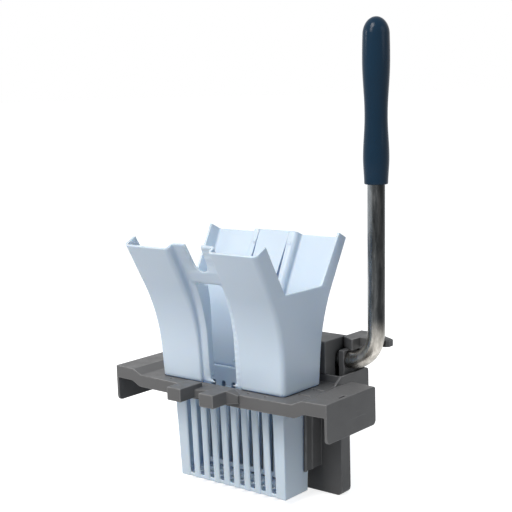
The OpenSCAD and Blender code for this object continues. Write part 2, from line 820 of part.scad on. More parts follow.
module hopper() {
    color(c_blue) difference() {
        union() {
            difference() {
                hopper_shell();
                front_window();
            }
            window_jambs();
            hinge_ears();
            slot_ribs();
            hopper_feet();
        }
        side_notch();
        centre_dip();
        rear_opening();
        snap_pockets();
    }
}

// Basket
module basket_body(inset, floor_z, top) {
    function back(z) = [basket_back(z) - inset, z];
    function front(z) = [inset - basket_wall(z), z];
    function side(z) = [basket_half(z) - inset, z];
    right = [side(floor_z), side(basket_knee), side(basket_shoulder), side(top)];
    intersection() {
        along_x(-far, far) polygon([back(floor_z), back(back_knee), back(back_shoulder), back(top),
            front(top), front(basket_shoulder), front(basket_knee), front(floor_z)]);
        along_y(-far, far) polygon(concat(right, turned(to_front(right))));
    }
}
module slot_cut(width, z0, z1, y0, y1) {
    r = width / 2;
    block(-r, r, y0, y1, z0, z1 - r);
    bar_y(y0, y1, 0, z1 - r, r);
}
module basket_grooves(x) {
    width = drain_w + 2.5;
    translate([x, 0, 0]) along_x(-width / 2, width / 2) polygon([
        [-basket_wall(basket_bottom) - 9, basket_bottom - 1],
        [-basket_wall(basket_bottom) + groove_d, basket_bottom - 1],
        [-basket_wall(basket_knee) + groove_d, basket_knee],
        [-basket_wall(basket_knee) - 9, basket_knee]]);
}
module basket_floor_slots(x) {
    inner = basket_wall(basket_bottom) - basket_t - 1;
    bar = 2;
    for (span = [[-inner, -8 - bar], [-8 + bar, 8 - bar], [8 + bar, inner]]) {
        block(x - 4, x + 4, span[0], span[1], basket_bottom - 1, slot_foot + 1);
    }
}
module basket_flange() {
    low = deck_bottom - frame_t;
    inner_w = basket_w / 2 - 1;
    inner_d = basket_d / 2 - 1;
    difference() {
        block(-hang_w / 2, hang_w / 2, -hang_front, hang_back, low, deck_bottom);
        block(-inner_w, inner_w, -inner_d, inner_d, low - 1, deck_bottom + 1);
    }
    both_sides() {
        for (s = deck_slots) {
            block(s[0] - s[1] / 2 + side_gap, s[0] + s[1] / 2 - side_gap, deck_slot_y - slot_w / 2 + side_gap,
                deck_slot_y + slot_w / 2 - side_gap, deck_bottom - 0.5, deck_top - 1.2);
        }
    }
}
module basket_collar() {
    wall = 2.5;
    front_edge = basket_d / 2 - basket_t;
    both_sides() {
        block(collar_outer - wall, collar_outer, -front_edge, front_edge - 8, deck_top - 1,
            deck_top + collar_h);
        block(collar_outer - 0.5, collar_outer + 0.9, -snap_half, snap_half, deck_top + 6,
            deck_top + 10);
        // strips behind the front lobes of the hopper
        block(front_recess_w / 2 + hopper_t + 1, collar_outer - wall + 1, 0.2 - hopper_d / 2 + hopper_t,
            -front_edge + 0.5, deck_top - 1, deck_top + 5);
    }
}
module basket() {
    color(c_blue) difference() {
        union() {
            difference() {
                basket_body(0, basket_bottom, deck_top);
                basket_body(basket_t, slot_foot, deck_top + 1);
                for (i = [-slots_each_side:slots_each_side]) {
                    basket_grooves(i * slot_pitch);
                }
            }
            basket_flange();
            basket_collar();
        }
        for (i = [-slots_each_side:slots_each_side]) {
            translate([i * slot_pitch, 0, 0]) slot_cut(drain_w, slot_foot, slot_top, -60, 60);
            basket_floor_slots(i * slot_pitch);
        }
    }
}

// Press jaw
// Web from the tongue to the barrel of its hinge pin
module hinge_web() {
    intersection() {
        block(-tongue_top_w / 2, tongue_top_w / 2, 0, hinge_y, hinge_z - hinge_r, hinge_z + hinge_r);
        beyond_recess(tongue_top_w / 2, 1, 0, 1);
    }
}
module tongue() {
    low = plate_top - 4;
    outer = flare(recess_foot_point, recess_lip_point);
    inner = flare(recess_foot_point, recess_lip_point, hopper_t);
    start = [recess_foot_y - flare_low * (foot_z - low), low];
    intersection() {
        along_x(-tongue_top_w / 2, tongue_top_w / 2) polygon(concat([start], outer, turned(inner),
            [[start[0] - hopper_t / cos(low_angle), low]]));
        along_y(0, far) polygon([[tongue_top_w / 2, recess_lip_z + 30], [tongue_top_w / 2, slit_top],
            [tongue_w / 2, slit_full], [tongue_w / 2, low - 1], [-tongue_w / 2, low - 1],
            [-tongue_w / 2, slit_full], [-tongue_top_w / 2, slit_top],
            [-tongue_top_w / 2, recess_lip_z + 30]]);
    }
}
// Ribs that run rearward from the side edges of the tongue
module tongue_ribs() {
    outer = flare(recess_foot_point, recess_lip_point, 1);
    proud = flare(recess_foot_point, recess_lip_point, -slot_rib_h);
    foot = tongue_w / 2 - slot_rib_in;
    high = foot + (hinge_z - slit_full) / (slit_top - slit_full) * (tongue_top_w - tongue_w) / 2;
    low = ram_z + ram_h;
    both_sides() intersection() {
        along_x(0, far) polygon(concat(outer, turned(proud)));
        along_y(0, far) polygon([[foot, low], [foot, slit_full], [high, hinge_z],
            [high - slot_rib_t, hinge_z], [foot - slot_rib_t, slit_full], [foot - slot_rib_t, low]]);
    }
}
module ram() {
    back = ram_back - pad_t;
    top = ram_z + ram_h;
    front = recess_foot_y - 1;
    difference() {
        block(-ram_half, ram_half, front, back, ram_z, top);
        block(-ram_half + 3, ram_half - 3, recess_foot_y + 6, back - 12, ram_z - 1, top - 3);
        bar_y(back - peg_l - 0.5, back + 1, 0, ram_z + ram_h / 2, peg_r + press_gap);
    }
}
module press_plate() {
    function back(z, t) = [basket_back(z) - basket_t - plate_gap - t, z];
    function side(z) = [basket_half(z) - basket_t - plate_side_gap, z];
    right = [side(plate_foot), side(basket_knee), side(basket_shoulder), side(plate_top)];
    difference() {
        intersection() {
            along_x(-far, far) polygon([back(plate_top, 0), back(back_shoulder, 0), back(back_knee, 0),
                back(plate_foot, 0), back(plate_foot, plate_t), back(back_knee, plate_t),
                back(back_shoulder, plate_head_t), back(plate_top, plate_head_t)]);
            along_y(0, far) polygon(concat(right, turned(to_front(right))));
        }
        for (i = [-slots_each_side:slots_each_side]) {
            translate([i * slot_pitch, 0, 0]) slot_cut(drain_w, plate_foot + 6, plate_slot_top, 0, 60);
        }
    }
}
module press_jaw() {
    color(c_blue) difference() {
        union() {
            tongue();
            tongue_ribs();
            hinge_web();
            ram();
            press_plate();
            bar_x(-tongue_top_w / 2, tongue_top_w / 2, hinge_y, hinge_z, barrel_r);
        }
        bar_x(-far, far, hinge_y, hinge_z, hinge_r + press_gap);
    }
}
module jaw_hinge_pin() {
    end = ear_x + ear_w - 0.5;
    color(c_steel) bar_x(-end, end, hinge_y, hinge_z, hinge_r);
}
module wear_pad() {
    back = ram_back;
    color(c_white) {
        block(-ram_half, ram_half, back - pad_t, back, ram_z - 1, ram_z + ram_h + 1);
        bar_y(back - pad_t - peg_l, back - 1, 0, ram_z + ram_h / 2, peg_r);
    }
}

// Lever
module in_lever() {
    translate([0, shaft_y, shaft_z]) rotate([-lever_lean, 0, 0]) children();
}
module bend(r) {
    translate([lever_x - bend_r, 0, bend_r]) rotate([90, 0, 0]) rotate([0, 0, -90])
        rotate_extrude(angle = 90) translate([bend_r, 0]) circle(r = r);
}
module tube_shape(r, over) {
    translate([shaft_left - over, 0, 0]) rotate([0, 90, 0])
        cylinder(h = lever_x - bend_r - shaft_left + over, r = r);
    bend(r);
    translate([lever_x, 0, bend_r]) cylinder(h = riser_top - bend_r + over, r = r);
}
module lever_tube() {
    color(c_steel) difference() {
        in_lever() difference() {
            tube_shape(tube_r, 0);
            tube_shape(tube_r - tube_t, 1);
        }
        bar_z(-far, far, cam_pin_x, shaft_y, cam_pin_r + press_gap);
        bar_z(-far, far, collar_mid, shaft_y, collar_pin_r + press_gap);
    }
}
function ease(a, b, t) = a + (b - a) * (1 - cos(180 * t)) / 2;
// Radius of the grip at a share of its length from its foot
function grip_r(s) =
    s < 0.16 ? ease(grip_foot_r, grip_bulge_r, s / 0.16)
    : s < 0.41 ? ease(grip_bulge_r, grip_waist_r, (s - 0.16) / 0.25)
    : s < 0.75 ? ease(grip_waist_r, grip_belly_r, (s - 0.41) / 0.34)
    : grip_belly_r - 1.5 * pow((s - 0.75) / 0.25, 2);
module lever_grip() {
    steps = 30;
    body = grip_l - grip_dome;
    top_r = grip_r(body / grip_l);
    outline = concat([[0, 0]],
        [for (i = [0:steps]) [grip_r(i / steps * body / grip_l), i / steps * body]],
        [for (a = [15:15:75]) [top_r * cos(a), body + grip_dome * sin(a)]], [[0, grip_l]]);
    color(c_navy) in_lever() difference() {
        translate([lever_x, 0, grip_foot]) rotate_extrude() polygon(outline);
        translate([lever_x, 0, grip_foot - 1]) cylinder(h = riser_top - grip_foot + 1 + press_gap,
            r = tube_r + press_gap);
    }
}
module cam_outline() {
    last = cam_point(lever_turn + cam_over);
    polygon(concat(
        [for (i = [0:cam_steps]) cam_point(i * (lever_turn + cam_over) / cam_steps)],
        [[last[0] + 2, last[1] - 2], [last[0] + 4, 12], [hub_r * 0.7, 0], [0, -hub_r * 0.6],
         [-hub_r * 0.8, 0]]));
}
module press_cam() {
    color(c_steel) translate([0, shaft_y, shaft_z]) difference() {
        union() {
            bar_x(-hub_r + 1, hub_r - 1, 0, 0, hub_r - 0.1);
            along_x(-cam_t / 2, cam_t / 2) cam_outline();
            bar_x(-arm_t / 2, arm_t / 2, arm_reach, -arm_drop, arm_r);
            along_x(-arm_t / 2, arm_t / 2) polygon([[0, hub_r - 2], [arm_reach, arm_r - arm_drop],
                [arm_reach, -arm_r - arm_drop], [0, 2 - hub_r]]);
        }
        bar_x(-far, far, 0, 0, tube_r + press_gap);
        bar_x(-far, far, arm_reach, -arm_drop, arm_hole_r);
        bar_z(-far, far, cam_pin_x, 0, cam_pin_r + press_gap);
    }
}
module cam_pin() {
    reach = hub_r - 0.6;
    color(c_steel) bar_z(shaft_z - reach, shaft_z + reach, cam_pin_x, shaft_y, cam_pin_r);
}
module shaft_collar() {
    x = collar_mid;
    color(c_steel) difference() {
        bar_x(x - collar_l / 2, x + collar_l / 2, shaft_y, shaft_z, collar_r);
        bar_x(x - collar_l, x + collar_l, shaft_y, shaft_z, tube_r + press_gap);
        bar_z(-far, far, x, shaft_y, collar_pin_r + press_gap);
    }
}
module collar_pin() {
    reach = collar_r - 0.5;
    color(c_steel) bar_z(shaft_z - reach, shaft_z + reach, collar_mid, shaft_y, collar_pin_r);
}
module shaft_washer() {
    x = -bearing_x - end_play / 2;
    color(c_steel) difference() {
        bar_x(x - washer_t, x, shaft_y, shaft_z, collar_r);
        bar_x(-far, far, shaft_y, shaft_z, tube_r + press_gap);
    }
}
module shaft_end_cap() {
    start = -bearing_x - end_play / 2 - washer_t;
    color(c_frame) difference() {
        bar_x(shaft_left - cap_t, start, shaft_y, shaft_z, tube_r + cap_t);
        bar_x(shaft_left, start + 1, shaft_y, shaft_z, tube_r + press_gap);
    }
}

// Bearings: the right bracket; the left one mirrors it
module bracket_shape(top) {
    difference() {
        union() {
            block(bearing_x - bearing_t, bearing_x, bracket_front, pillar_y0 + 1, tray_floor, top);
            block(pillar_x0 + 3, pillar_x1, bracket_front, pillar_y0 + 1, tray_floor, tray_floor + foot_h);
            block(pillar_x0, pillar_x1, pillar_y0, pillar_y1, tray_floor, top);
        }
        bar_x(0, far, shaft_y, shaft_z, bush_r + press_gap);
        bar_z(-far, far, bolt_x0, bolt_y, bolt_r + side_gap / 4);
        bar_z(-far, far, bolt_x1, bolt_y, bolt_r + side_gap / 4);
        bar_z(tray_floor - 1, tray_floor + screw_l - frame_t, screw_x, screw_y, bolt_r);
    }
}
module bearing_bracket_right() {
    color(c_frame) bracket_shape(bracket_top);
}
module bearing_bracket_left() {
    color(c_frame) mirror([1, 0, 0]) bracket_shape(bracket_top);
}
module bush() {
    color(c_white) difference() {
        union() {
            bar_x(bush_in, bearing_x, shaft_y, shaft_z, bush_r);
            bar_x(bush_in, bush_in + flange_w, shaft_y, shaft_z, bush_flange_r);
        }
        bar_x(0, far, shaft_y, shaft_z, bore_r);
    }
}
module bush_right() {
    bush();
}
module bush_left() {
    mirror([1, 0, 0]) bush();
}
module lever_stop() {
    boss_front = shaft_y - 5;
    low_tip = stop_top - 8;
    tip_r = 3;
    color(c_frame) difference() {
        union() {
            // boss over the bearing, with its slanted front
            along_z(bracket_top, stop_top) polygon([[stop_left, boss_front + 11],
                [stop_boss_x - 1.5, boss_front], [stop_boss_x, boss_front + 2],
                [stop_boss_x, stop_face + 12], [stop_left, stop_face + 12]]);
            // arm to the rear, with the bar behind the lever tube
            intersection() {
                along_z(bracket_top, stop_top) polygon([[stop_left, stop_face + 4],
                    [stop_boss_x - 2, stop_face], [stop_tip - tip_r, stop_face],
                    [stop_tip, stop_face + tip_r], [stop_tip, stop_face + stop_tip_d - tip_r],
                    [stop_tip - tip_r, stop_face + stop_tip_d], [stop_boss_x, stop_arm_back],
                    [stop_left, stop_arm_back]]);
                along_y(0, far) polygon([[stop_left - 1, bracket_top], [pillar_x1, bracket_top],
                    [stop_boss_x, stop_top - 11], [stop_tip + 1, low_tip], [stop_tip + 1, stop_top],
                    [stop_left - 1, stop_top]]);
            }
            // ribs on the tip
            for (i = [0:2]) {
                block(stop_tip - 12 + 4 * i, stop_tip - 10.4 + 4 * i, stop_face + 1,
                    stop_face + stop_tip_d - 4, stop_top - 1, stop_top + 0.8);
            }
        }
        bar_z(bracket_top - 1, bracket_top + bolt_bite, bolt_x0, bolt_y, bolt_r);
        bar_z(bracket_top - 1, bracket_top + bolt_bite, bolt_x1, bolt_y, bolt_r);
    }
}

// Bolts and screws go up from under the tray
module tray_bolt(x, y, z1) {
    bar_z(-tray_drop - bolt_head_h, -tray_drop, x, y, bolt_head_r);
    bar_z(-tray_drop - 1, z1, x, y, bolt_r - press_gap);
}
module stop_bolts() {
    top = bracket_top + bolt_bite - 1;
    color(c_steel) {
        tray_bolt(bolt_x0, bolt_y, top);
        tray_bolt(bolt_x1, bolt_y, top);
    }
}
module bracket_bolts() {
    top = bracket_top - 2;
    color(c_steel) mirror([1, 0, 0]) {
        tray_bolt(bolt_x0, bolt_y, top);
        tray_bolt(bolt_x1, bolt_y, top);
    }
}
module bracket_screws() {
    color(c_steel) both_sides() tray_bolt(screw_x, screw_y, tray_floor + screw_l - frame_t - 1);
}

// Cover: a box with a raised, deeper hood over the cam
module cover_body(inset) {
    half = cover_half - inset;
    hood_half = hood_w / 2 - inset;
    front = cover_front + inset;
    foot = cover_foot - inset;
    block(-half, half, front, cover_back - inset, foot, cover_top - inset);
    block(-hood_half, hood_half, front, tray_back - inset, foot, hood_top - inset);
}
module shaft_window() {
    block(-far, far, shaft_y - shaft_window_r, shaft_y + shaft_window_r, cover_foot - 1, shaft_z);
    bar_x(-far, far, shaft_y, shaft_z, shaft_window_r);
}
module mechanism_cover() {
    inner_front = deck_back + frame_t + lip_gap;
    hood_half = hood_w / 2;
    color(c_frame) difference() {
        union() {
            difference() {
                cover_body(0);
                cover_body(cover_t);
            }
            for (x = cover_screw_x) {
                both_sides() bar_y(cover_back - 1, tray_wall_y - lip_gap, x, boss_z, boss_r);
            }
        }
        // the front wall stands on the tray's front lip, and so does the rear of the hood
        block(-far, far, 0, inner_front, cover_foot - 5, tray_rise + lip_gap);
        block(-hood_half - 1, hood_half + 1, tray_wall_y - lip_gap, far, cover_foot - 5,
            tray_rise + lip_gap);
        block(-ram_window_half, ram_window_half, 0, cover_front + cover_t + 1, 0, ram_z + ram_h + 9);
        shaft_window();
        for (x = cover_screw_x) {
            both_sides() bar_y(cover_back - 0.5, tray_wall_y + 1, x, boss_z, bolt_r);
        }
    }
}
module cover_screws() {
    color(c_steel) both_sides() {
        for (x = cover_screw_x) {
            bar_y(tray_back, tray_back + bolt_head_h, x, boss_z, bolt_head_r);
            bar_y(cover_back + 1, tray_back + 1, x, boss_z, bolt_r - press_gap);
        }
    }
}

// Return spring: one wire, hooked round the anchor pin and through the cam's arm
function spring_path() =
    let (low = anchor_z + 6, high = arm_z - arm_r - 2, rings = 8, count = (spring_turns - 0.25) * rings,
         hook = anchor_r + wire_r + hook_gap, side = arm_t / 2 + wire_r + hook_gap)
    concat(
        [for (a = [20:-25:-180]) [0, spring_y + hook * cos(a), anchor_z + hook * sin(a)]],
        [for (i = [0:count]) let (a = 360 * i / rings - 90)
            [spring_r * cos(a), spring_y + spring_r * sin(a), low + (high - low) * i / count]],
        [for (p = [[-side, -4], [-side, -1.6], [-side + 0.5, -0.5], [-side + 1.6, 0], [side - 1.6, 0],
            [side - 0.5, -0.5], [side, -1.6], [side, -3]]) [p[0], spring_y, arm_z + p[1]]]);
function unit(v) = v / norm(v);
module wire(path, r) {
    sides = 6;
    count = len(path);
    function along(i) = unit(path[min(i + 1, count - 1)] - path[max(i - 1, 0)]);
    function across(i) = let (t = along(i), side = cross(t, [0.31, 0.12, 0.94])) unit(side);
    points = [for (i = [0:count - 1]) let (u = across(i), v = cross(along(i), u))
        for (k = [0:sides - 1]) path[i] + r * (cos(360 * k / sides) * u + sin(360 * k / sides) * v)];
    skin = [for (i = [0:count - 2]) for (k = [0:sides - 1])
        let (a = i * sides + k, b = i * sides + (k + 1) % sides)
        for (tri = [[a, b, b + sides], [a, b + sides, a + sides]]) tri];
    caps = [for (k = [1:sides - 2]) for (tri = [[0, k + 1, k],
        [(count - 1) * sides, (count - 1) * sides + k, (count - 1) * sides + k + 1]]) tri];
    polyhedron(points = points, faces = concat(skin, caps));
}
module return_spring() {
    color(c_steel) wire(spring_path(), wire_r);
}
module spring_anchor() {
    color(c_steel) bar_x(-lug_out, lug_out, spring_y, anchor_z, anchor_r);
}

frame();
hopper();
basket();
press_jaw();
jaw_hinge_pin();
wear_pad();
lever_tube();
lever_grip();
press_cam();
cam_pin();
shaft_collar();
collar_pin();
shaft_washer();
shaft_end_cap();
bearing_bracket_right();
bearing_bracket_left();
bush_right();
bush_left();
lever_stop();
mechanism_cover();
return_spring();
spring_anchor();
stop_bolts();
bracket_bolts();
bracket_screws();
cover_screws();
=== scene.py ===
import json
import math

import bmesh
import bpy
import numpy as np
from mathutils import Matrix, Vector


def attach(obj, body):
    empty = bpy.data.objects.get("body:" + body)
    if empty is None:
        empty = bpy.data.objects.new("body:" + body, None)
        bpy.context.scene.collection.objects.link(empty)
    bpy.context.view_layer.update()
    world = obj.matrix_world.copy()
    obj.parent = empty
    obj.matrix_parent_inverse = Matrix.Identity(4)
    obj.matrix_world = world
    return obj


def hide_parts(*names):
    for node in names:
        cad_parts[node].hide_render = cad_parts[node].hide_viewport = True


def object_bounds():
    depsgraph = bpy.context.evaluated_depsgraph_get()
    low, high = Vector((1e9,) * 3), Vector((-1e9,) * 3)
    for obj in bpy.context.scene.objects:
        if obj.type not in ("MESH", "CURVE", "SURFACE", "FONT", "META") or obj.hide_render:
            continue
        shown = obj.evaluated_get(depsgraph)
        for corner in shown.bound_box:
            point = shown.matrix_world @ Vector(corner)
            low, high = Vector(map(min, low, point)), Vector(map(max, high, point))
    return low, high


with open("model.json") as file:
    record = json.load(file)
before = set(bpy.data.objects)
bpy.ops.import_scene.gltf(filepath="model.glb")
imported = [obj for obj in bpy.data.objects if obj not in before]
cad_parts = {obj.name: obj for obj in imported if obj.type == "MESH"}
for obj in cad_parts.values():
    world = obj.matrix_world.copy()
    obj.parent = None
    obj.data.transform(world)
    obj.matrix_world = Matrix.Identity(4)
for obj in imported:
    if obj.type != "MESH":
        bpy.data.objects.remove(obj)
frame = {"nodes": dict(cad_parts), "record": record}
cad_box = [[float(c) for c in corner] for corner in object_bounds()]
nodes = frame["nodes"]
MM = 0.001

# Mesh helpers, in millimetres

WELD_GAP = 0.02
BEVEL_ANGLE = 32
SHARP_ANGLE = 40


def place(name, verts, faces, body, slot=None, stands_for=()):
    """A new piece from points in millimetres, which rides on a body if one is named."""
    mesh = bpy.data.meshes.new(name)
    mesh.from_pydata([tuple(c * MM for c in v) for v in verts], [], faces)
    mesh.update()
    obj = bpy.data.objects.new(name, mesh)
    bpy.context.scene.collection.objects.link(obj)
    if body:
        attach(obj, body)
        if stands_for:
            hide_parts(*stands_for)
    return obj


def bake(obj):
    """Applies the modifiers of a piece to its mesh."""
    graph = bpy.context.evaluated_depsgraph_get()
    graph.update()
    mesh = bpy.data.meshes.new_from_object(obj.evaluated_get(graph))
    old = obj.data
    obj.modifiers.clear()
    obj.data = mesh
    mesh.name = obj.name
    bpy.data.meshes.remove(old)


def tidy_normals(mesh):
    bm = bmesh.new()
    bm.from_mesh(mesh)
    bmesh.ops.recalc_face_normals(bm, faces=bm.faces)
    bm.to_mesh(mesh)
    bm.free()


def boolean(obj, others, operation):
    """Cuts other solids from a piece, or joins them to it, and removes them."""
    for other in others:
        tidy_normals(other.data)
        m = obj.modifiers.new("bool", "BOOLEAN")
        m.operation = operation
        m.object = other
        m.solver = "EXACT"
    bake(obj)
    for other in others:
        bpy.data.objects.remove(other)


def prism(axis, outline, lo, hi):
    """An outline extruded along an axis. For x the outline is (y, z), for y (x, z), for z (x, y)."""
    n = len(outline)
    verts = []
    for level in (lo, hi):
        for a, b in outline:
            verts.append({"x": (level, a, b), "y": (a, level, b), "z": (a, b, level)}[axis])
    faces = [list(range(n)), list(range(2 * n - 1, n - 1, -1))]
    faces += [[i, (i + 1) % n, n + (i + 1) % n, n + i] for i in range(n)]
    return place("cutter", verts, faces, None)


def block(x0, x1, y0, y1, z0, z1):
    return prism("z", [(x0, y0), (x1, y0), (x1, y1), (x0, y1)], z0, z1)


def rod(axis, centre, r, lo, hi, sides=40):
    a, b = centre
    turns = [2 * math.pi * i / sides for i in range(sides)]
    return prism(axis, [(a + r * math.cos(t), b + r * math.sin(t)) for t in turns], lo, hi)


def arc(cx, cy, r, a0, a1, steps):
    turns = [math.radians(a0 + (a1 - a0) * i / steps) for i in range(steps + 1)]
    return [(cx + r * math.cos(t), cy + r * math.sin(t)) for t in turns]


def mirrored(outline):
    return [(-a, b) for a, b in reversed(outline)]


def both_sides(make, near, far):
    """Makes something between two distances from the centre plane, on the left and on the right."""
    return [make(*sorted((side * near, side * far))) for side in (-1, 1)]


def loft(rings, close=False):
    """Points and faces of a solid through equal rings; close joins the last ring to the first."""
    n = len(rings[0])
    verts = [p for ring in rings for p in ring]
    faces = []
    count = len(rings)
    for r in range(count if close else count - 1):
        s = (r + 1) % count
        for i in range(n):
            j = (i + 1) % n
            faces.append([r * n + i, r * n + j, s * n + j, s * n + i])
    if not close:
        faces.append(list(range(n))[::-1])
        faces.append([(count - 1) * n + i for i in range(n)])
    return verts, faces


def smooth(obj):
    for p in obj.data.polygons:
        p.use_smooth = True
    obj.data.set_sharp_from_angle(angle=math.radians(SHARP_ANGLE))


def round_edges(obj, width):
    """Welds a piece, rounds its sharp edges and shades it smooth."""
    weld = obj.modifiers.new("weld", "WELD")
    weld.merge_threshold = WELD_GAP * MM
    bevel = obj.modifiers.new("edge", "BEVEL")
    bevel.width = width * MM
    bevel.segments = 2
    bevel.limit_method = "ANGLE"
    bevel.angle_limit = math.radians(BEVEL_ANGLE)
    bevel.miter_outer = "MITER_ARC"
    bevel.harden_normals = True
    bake(obj)
    smooth(obj)


def mould_edges(obj, voxel, passes, keep):
    """Modifiers give a piece the soft edges and corners of a moulding; a CAD node keeps its mesh."""
    cells = obj.modifiers.new("cells", "REMESH")
    cells.mode = "VOXEL"
    cells.voxel_size = voxel * MM
    cells.use_smooth_shade = True
    even = obj.modifiers.new("even", "SMOOTH")
    even.factor = 0.5
    even.iterations = passes
    fewer = obj.modifiers.new("fewer", "DECIMATE")
    fewer.ratio = keep


# Shader helpers


def grey(k):
    return (k, k, k)


BLACK = grey(0)
WHITE = grey(1)


def shade(color, k):
    return tuple(c * k for c in color)


def material(name, color, roughness, metallic=0.0, specular=0.5):
    mat = bpy.data.materials.new(name)
    mat.use_nodes = True
    shader = mat.node_tree.nodes["Principled BSDF"]
    shader.inputs["Base Color"].default_value = (*color, 1)
    shader.inputs["Roughness"].default_value = roughness
    shader.inputs["Metallic"].default_value = metallic
    shader.inputs["Specular IOR Level"].default_value = specular
    return mat, mat.node_tree, shader


def node(tree, kind, **values):
    """A shader node; a value goes to the socket or, where there is none, to the setting of that name."""
    n = tree.nodes.new(kind)
    for key, value in values.items():
        if key in n.inputs:
            n.inputs[key].default_value = value
        else:
            setattr(n, key, value)
    return n


def coords(tree, scale=(1, 1, 1)):
    at = node(tree, "ShaderNodeTexCoord")
    mapping = node(tree, "ShaderNodeMapping")
    mapping.inputs["Scale"].default_value = scale
    tree.links.new(at.outputs["Object"], mapping.inputs["Vector"])
    return mapping.outputs["Vector"]


def noise(tree, vector, scale, detail=2.0, rough=0.5):
    n = node(tree, "ShaderNodeTexNoise", Scale=scale, Detail=detail, Roughness=rough)
    tree.links.new(vector, n.inputs["Vector"])
    return n.outputs["Fac"]


def ramp(tree, value, stops):
    n = node(tree, "ShaderNodeValToRGB")
    while len(n.color_ramp.elements) < len(stops):
        n.color_ramp.elements.new(0.5)
    for element, (position, color) in zip(n.color_ramp.elements, stops):
        element.position = position
        element.color = (*color, 1)
    tree.links.new(value, n.inputs["Fac"])
    return n.outputs["Color"]


def bump(tree, shader, height, depth):
    """Relief from a height pattern; depth is in millimetres."""
    n = node(tree, "ShaderNodeBump", Strength=1.0, Distance=depth * MM)
    tree.links.new(height, n.inputs["Height"])
    tree.links.new(n.outputs["Normal"], shader.inputs["Normal"])


def tint(tree, factor, under, over, how="MIX"):
    """Mixes a second colour into a first one by a factor, and returns the result."""
    mix = node(tree, "ShaderNodeMix", data_type="RGBA", blend_type=how)
    for socket, value in (("Factor", factor), ("A", under), ("B", over)):
        if isinstance(value, (tuple, float)):
            mix.inputs[socket].default_value = value
        else:
            tree.links.new(value, mix.inputs[socket])
    return mix.outputs["Result"]


def times(tree, one, other):
    return tint(tree, 1.0, one, other, "MULTIPLY")


def distance_to(tree, point):
    far = node(tree, "ShaderNodeVectorMath", operation="DISTANCE")
    tree.links.new(node(tree, "ShaderNodeTexCoord").outputs["Object"], far.inputs[0])
    far.inputs[1].default_value = point
    return far.outputs["Value"]


def faces_toward(tree, way):
    """From -1 to 1: how far the surface of a piece at rest faces a direction of the object."""
    side = node(tree, "ShaderNodeVectorMath", operation="DOT_PRODUCT")
    tree.links.new(node(tree, "ShaderNodeTexCoord").outputs["Normal"], side.inputs[0])
    side.inputs[1].default_value = way
    return side.outputs["Value"]


def edge_highlight(tree, shader, color, low, high):
    """Painted highlight: lighter plastic where edges stand proud, in patches."""
    tone = shader.inputs["Base Color"].links[0].from_socket
    proud = node(tree, "ShaderNodeNewGeometry").outputs["Pointiness"]
    edge = ramp(tree, proud, [(low, BLACK), (high, WHITE)])
    patch = noise(tree, coords(tree), scale=45, detail=3)
    patch = ramp(tree, patch, [(0.3, grey(0.35)), (0.65, WHITE)])
    # painted highlight mixed into the colour along proud edges
    highlighted = tint(tree, times(tree, edge, patch), tone, (*color, 1))
    tree.links.new(highlighted, shader.inputs["Base Color"])


def crevice_shade(tree, shader, reach, dark):
    """Painted shade: a darker colour in narrow pockets and gaps, where little light reaches; reach is in
    metres.
    """
    tone = shader.inputs["Base Color"].links[0].from_socket
    open_air = node(tree, "ShaderNodeAmbientOcclusion", Distance=reach, samples=8)
    depth = ramp(tree, open_air.outputs["AO"], [(0.2, dark), (0.6, WHITE)])
    # painted shade: the colour is multiplied darker where the ambient occlusion is low
    tree.links.new(times(tree, tone, depth), shader.inputs["Base Color"])


def scratches(tree, shader, centre, reach, color):
    """A few faint level scratches near a point; centre and reach are in metres."""
    tone = shader.inputs["Base Color"].links[0].from_socket
    level = coords(tree, (1, 0.045, 1))
    line = noise(tree, level, scale=620, detail=2, rough=0.4)
    line = ramp(tree, line, [(0.68, BLACK), (0.74, WHITE)])
    near = ramp(tree, distance_to(tree, centre), [(reach * 0.4, WHITE), (reach, BLACK)])
    marked = tint(tree, times(tree, line, near), tone, (*color, 1))
    tree.links.new(marked, shader.inputs["Base Color"])


# Materials


def moulded(name, color, gloss, grain, grain_depth, mottle, specular=0.5):
    """Moulded plastic: faint mottling, uneven gloss and a fine surface grain."""
    low, high = gloss
    mat, tree, shader = material(name, color, (low + high) / 2, specular=specular)
    at = coords(tree)
    tone = ramp(tree, noise(tree, at, scale=14, detail=3),
                [(0.3, shade(color, 1 - mottle)), (0.7, shade(color, 1 + mottle))])
    tree.links.new(tone, shader.inputs["Base Color"])
    dull = noise(tree, at, scale=60, detail=4, rough=0.6)
    dull = ramp(tree, dull, [(0.35, grey(low)), (0.65, grey(high))])
    tree.links.new(dull, shader.inputs["Roughness"])
    bump(tree, shader, noise(tree, at, scale=grain, detail=3, rough=0.6), grain_depth)
    return mat, tree, shader


def blue_plastic():
    """Its thin walls let some light through; painted shade makes it darker and bluer in narrow gaps."""
    mat, tree, shader = moulded("blue_plastic", (0.59, 0.69, 0.80), gloss=(0.36, 0.46), grain=900,
                                grain_depth=0.02, mottle=0.012)
    shader.inputs["Subsurface Weight"].default_value = 0.4
    shader.inputs["Subsurface Radius"].default_value = (0.7, 1.0, 1.4)
    shader.inputs["Subsurface Scale"].default_value = 0.004
    # painted shade, darker and bluer, in narrow gaps such as under the hopper's foot
    crevice_shade(tree, shader, reach=0.012, dark=(0.42, 0.60, 0.86))
    return mat


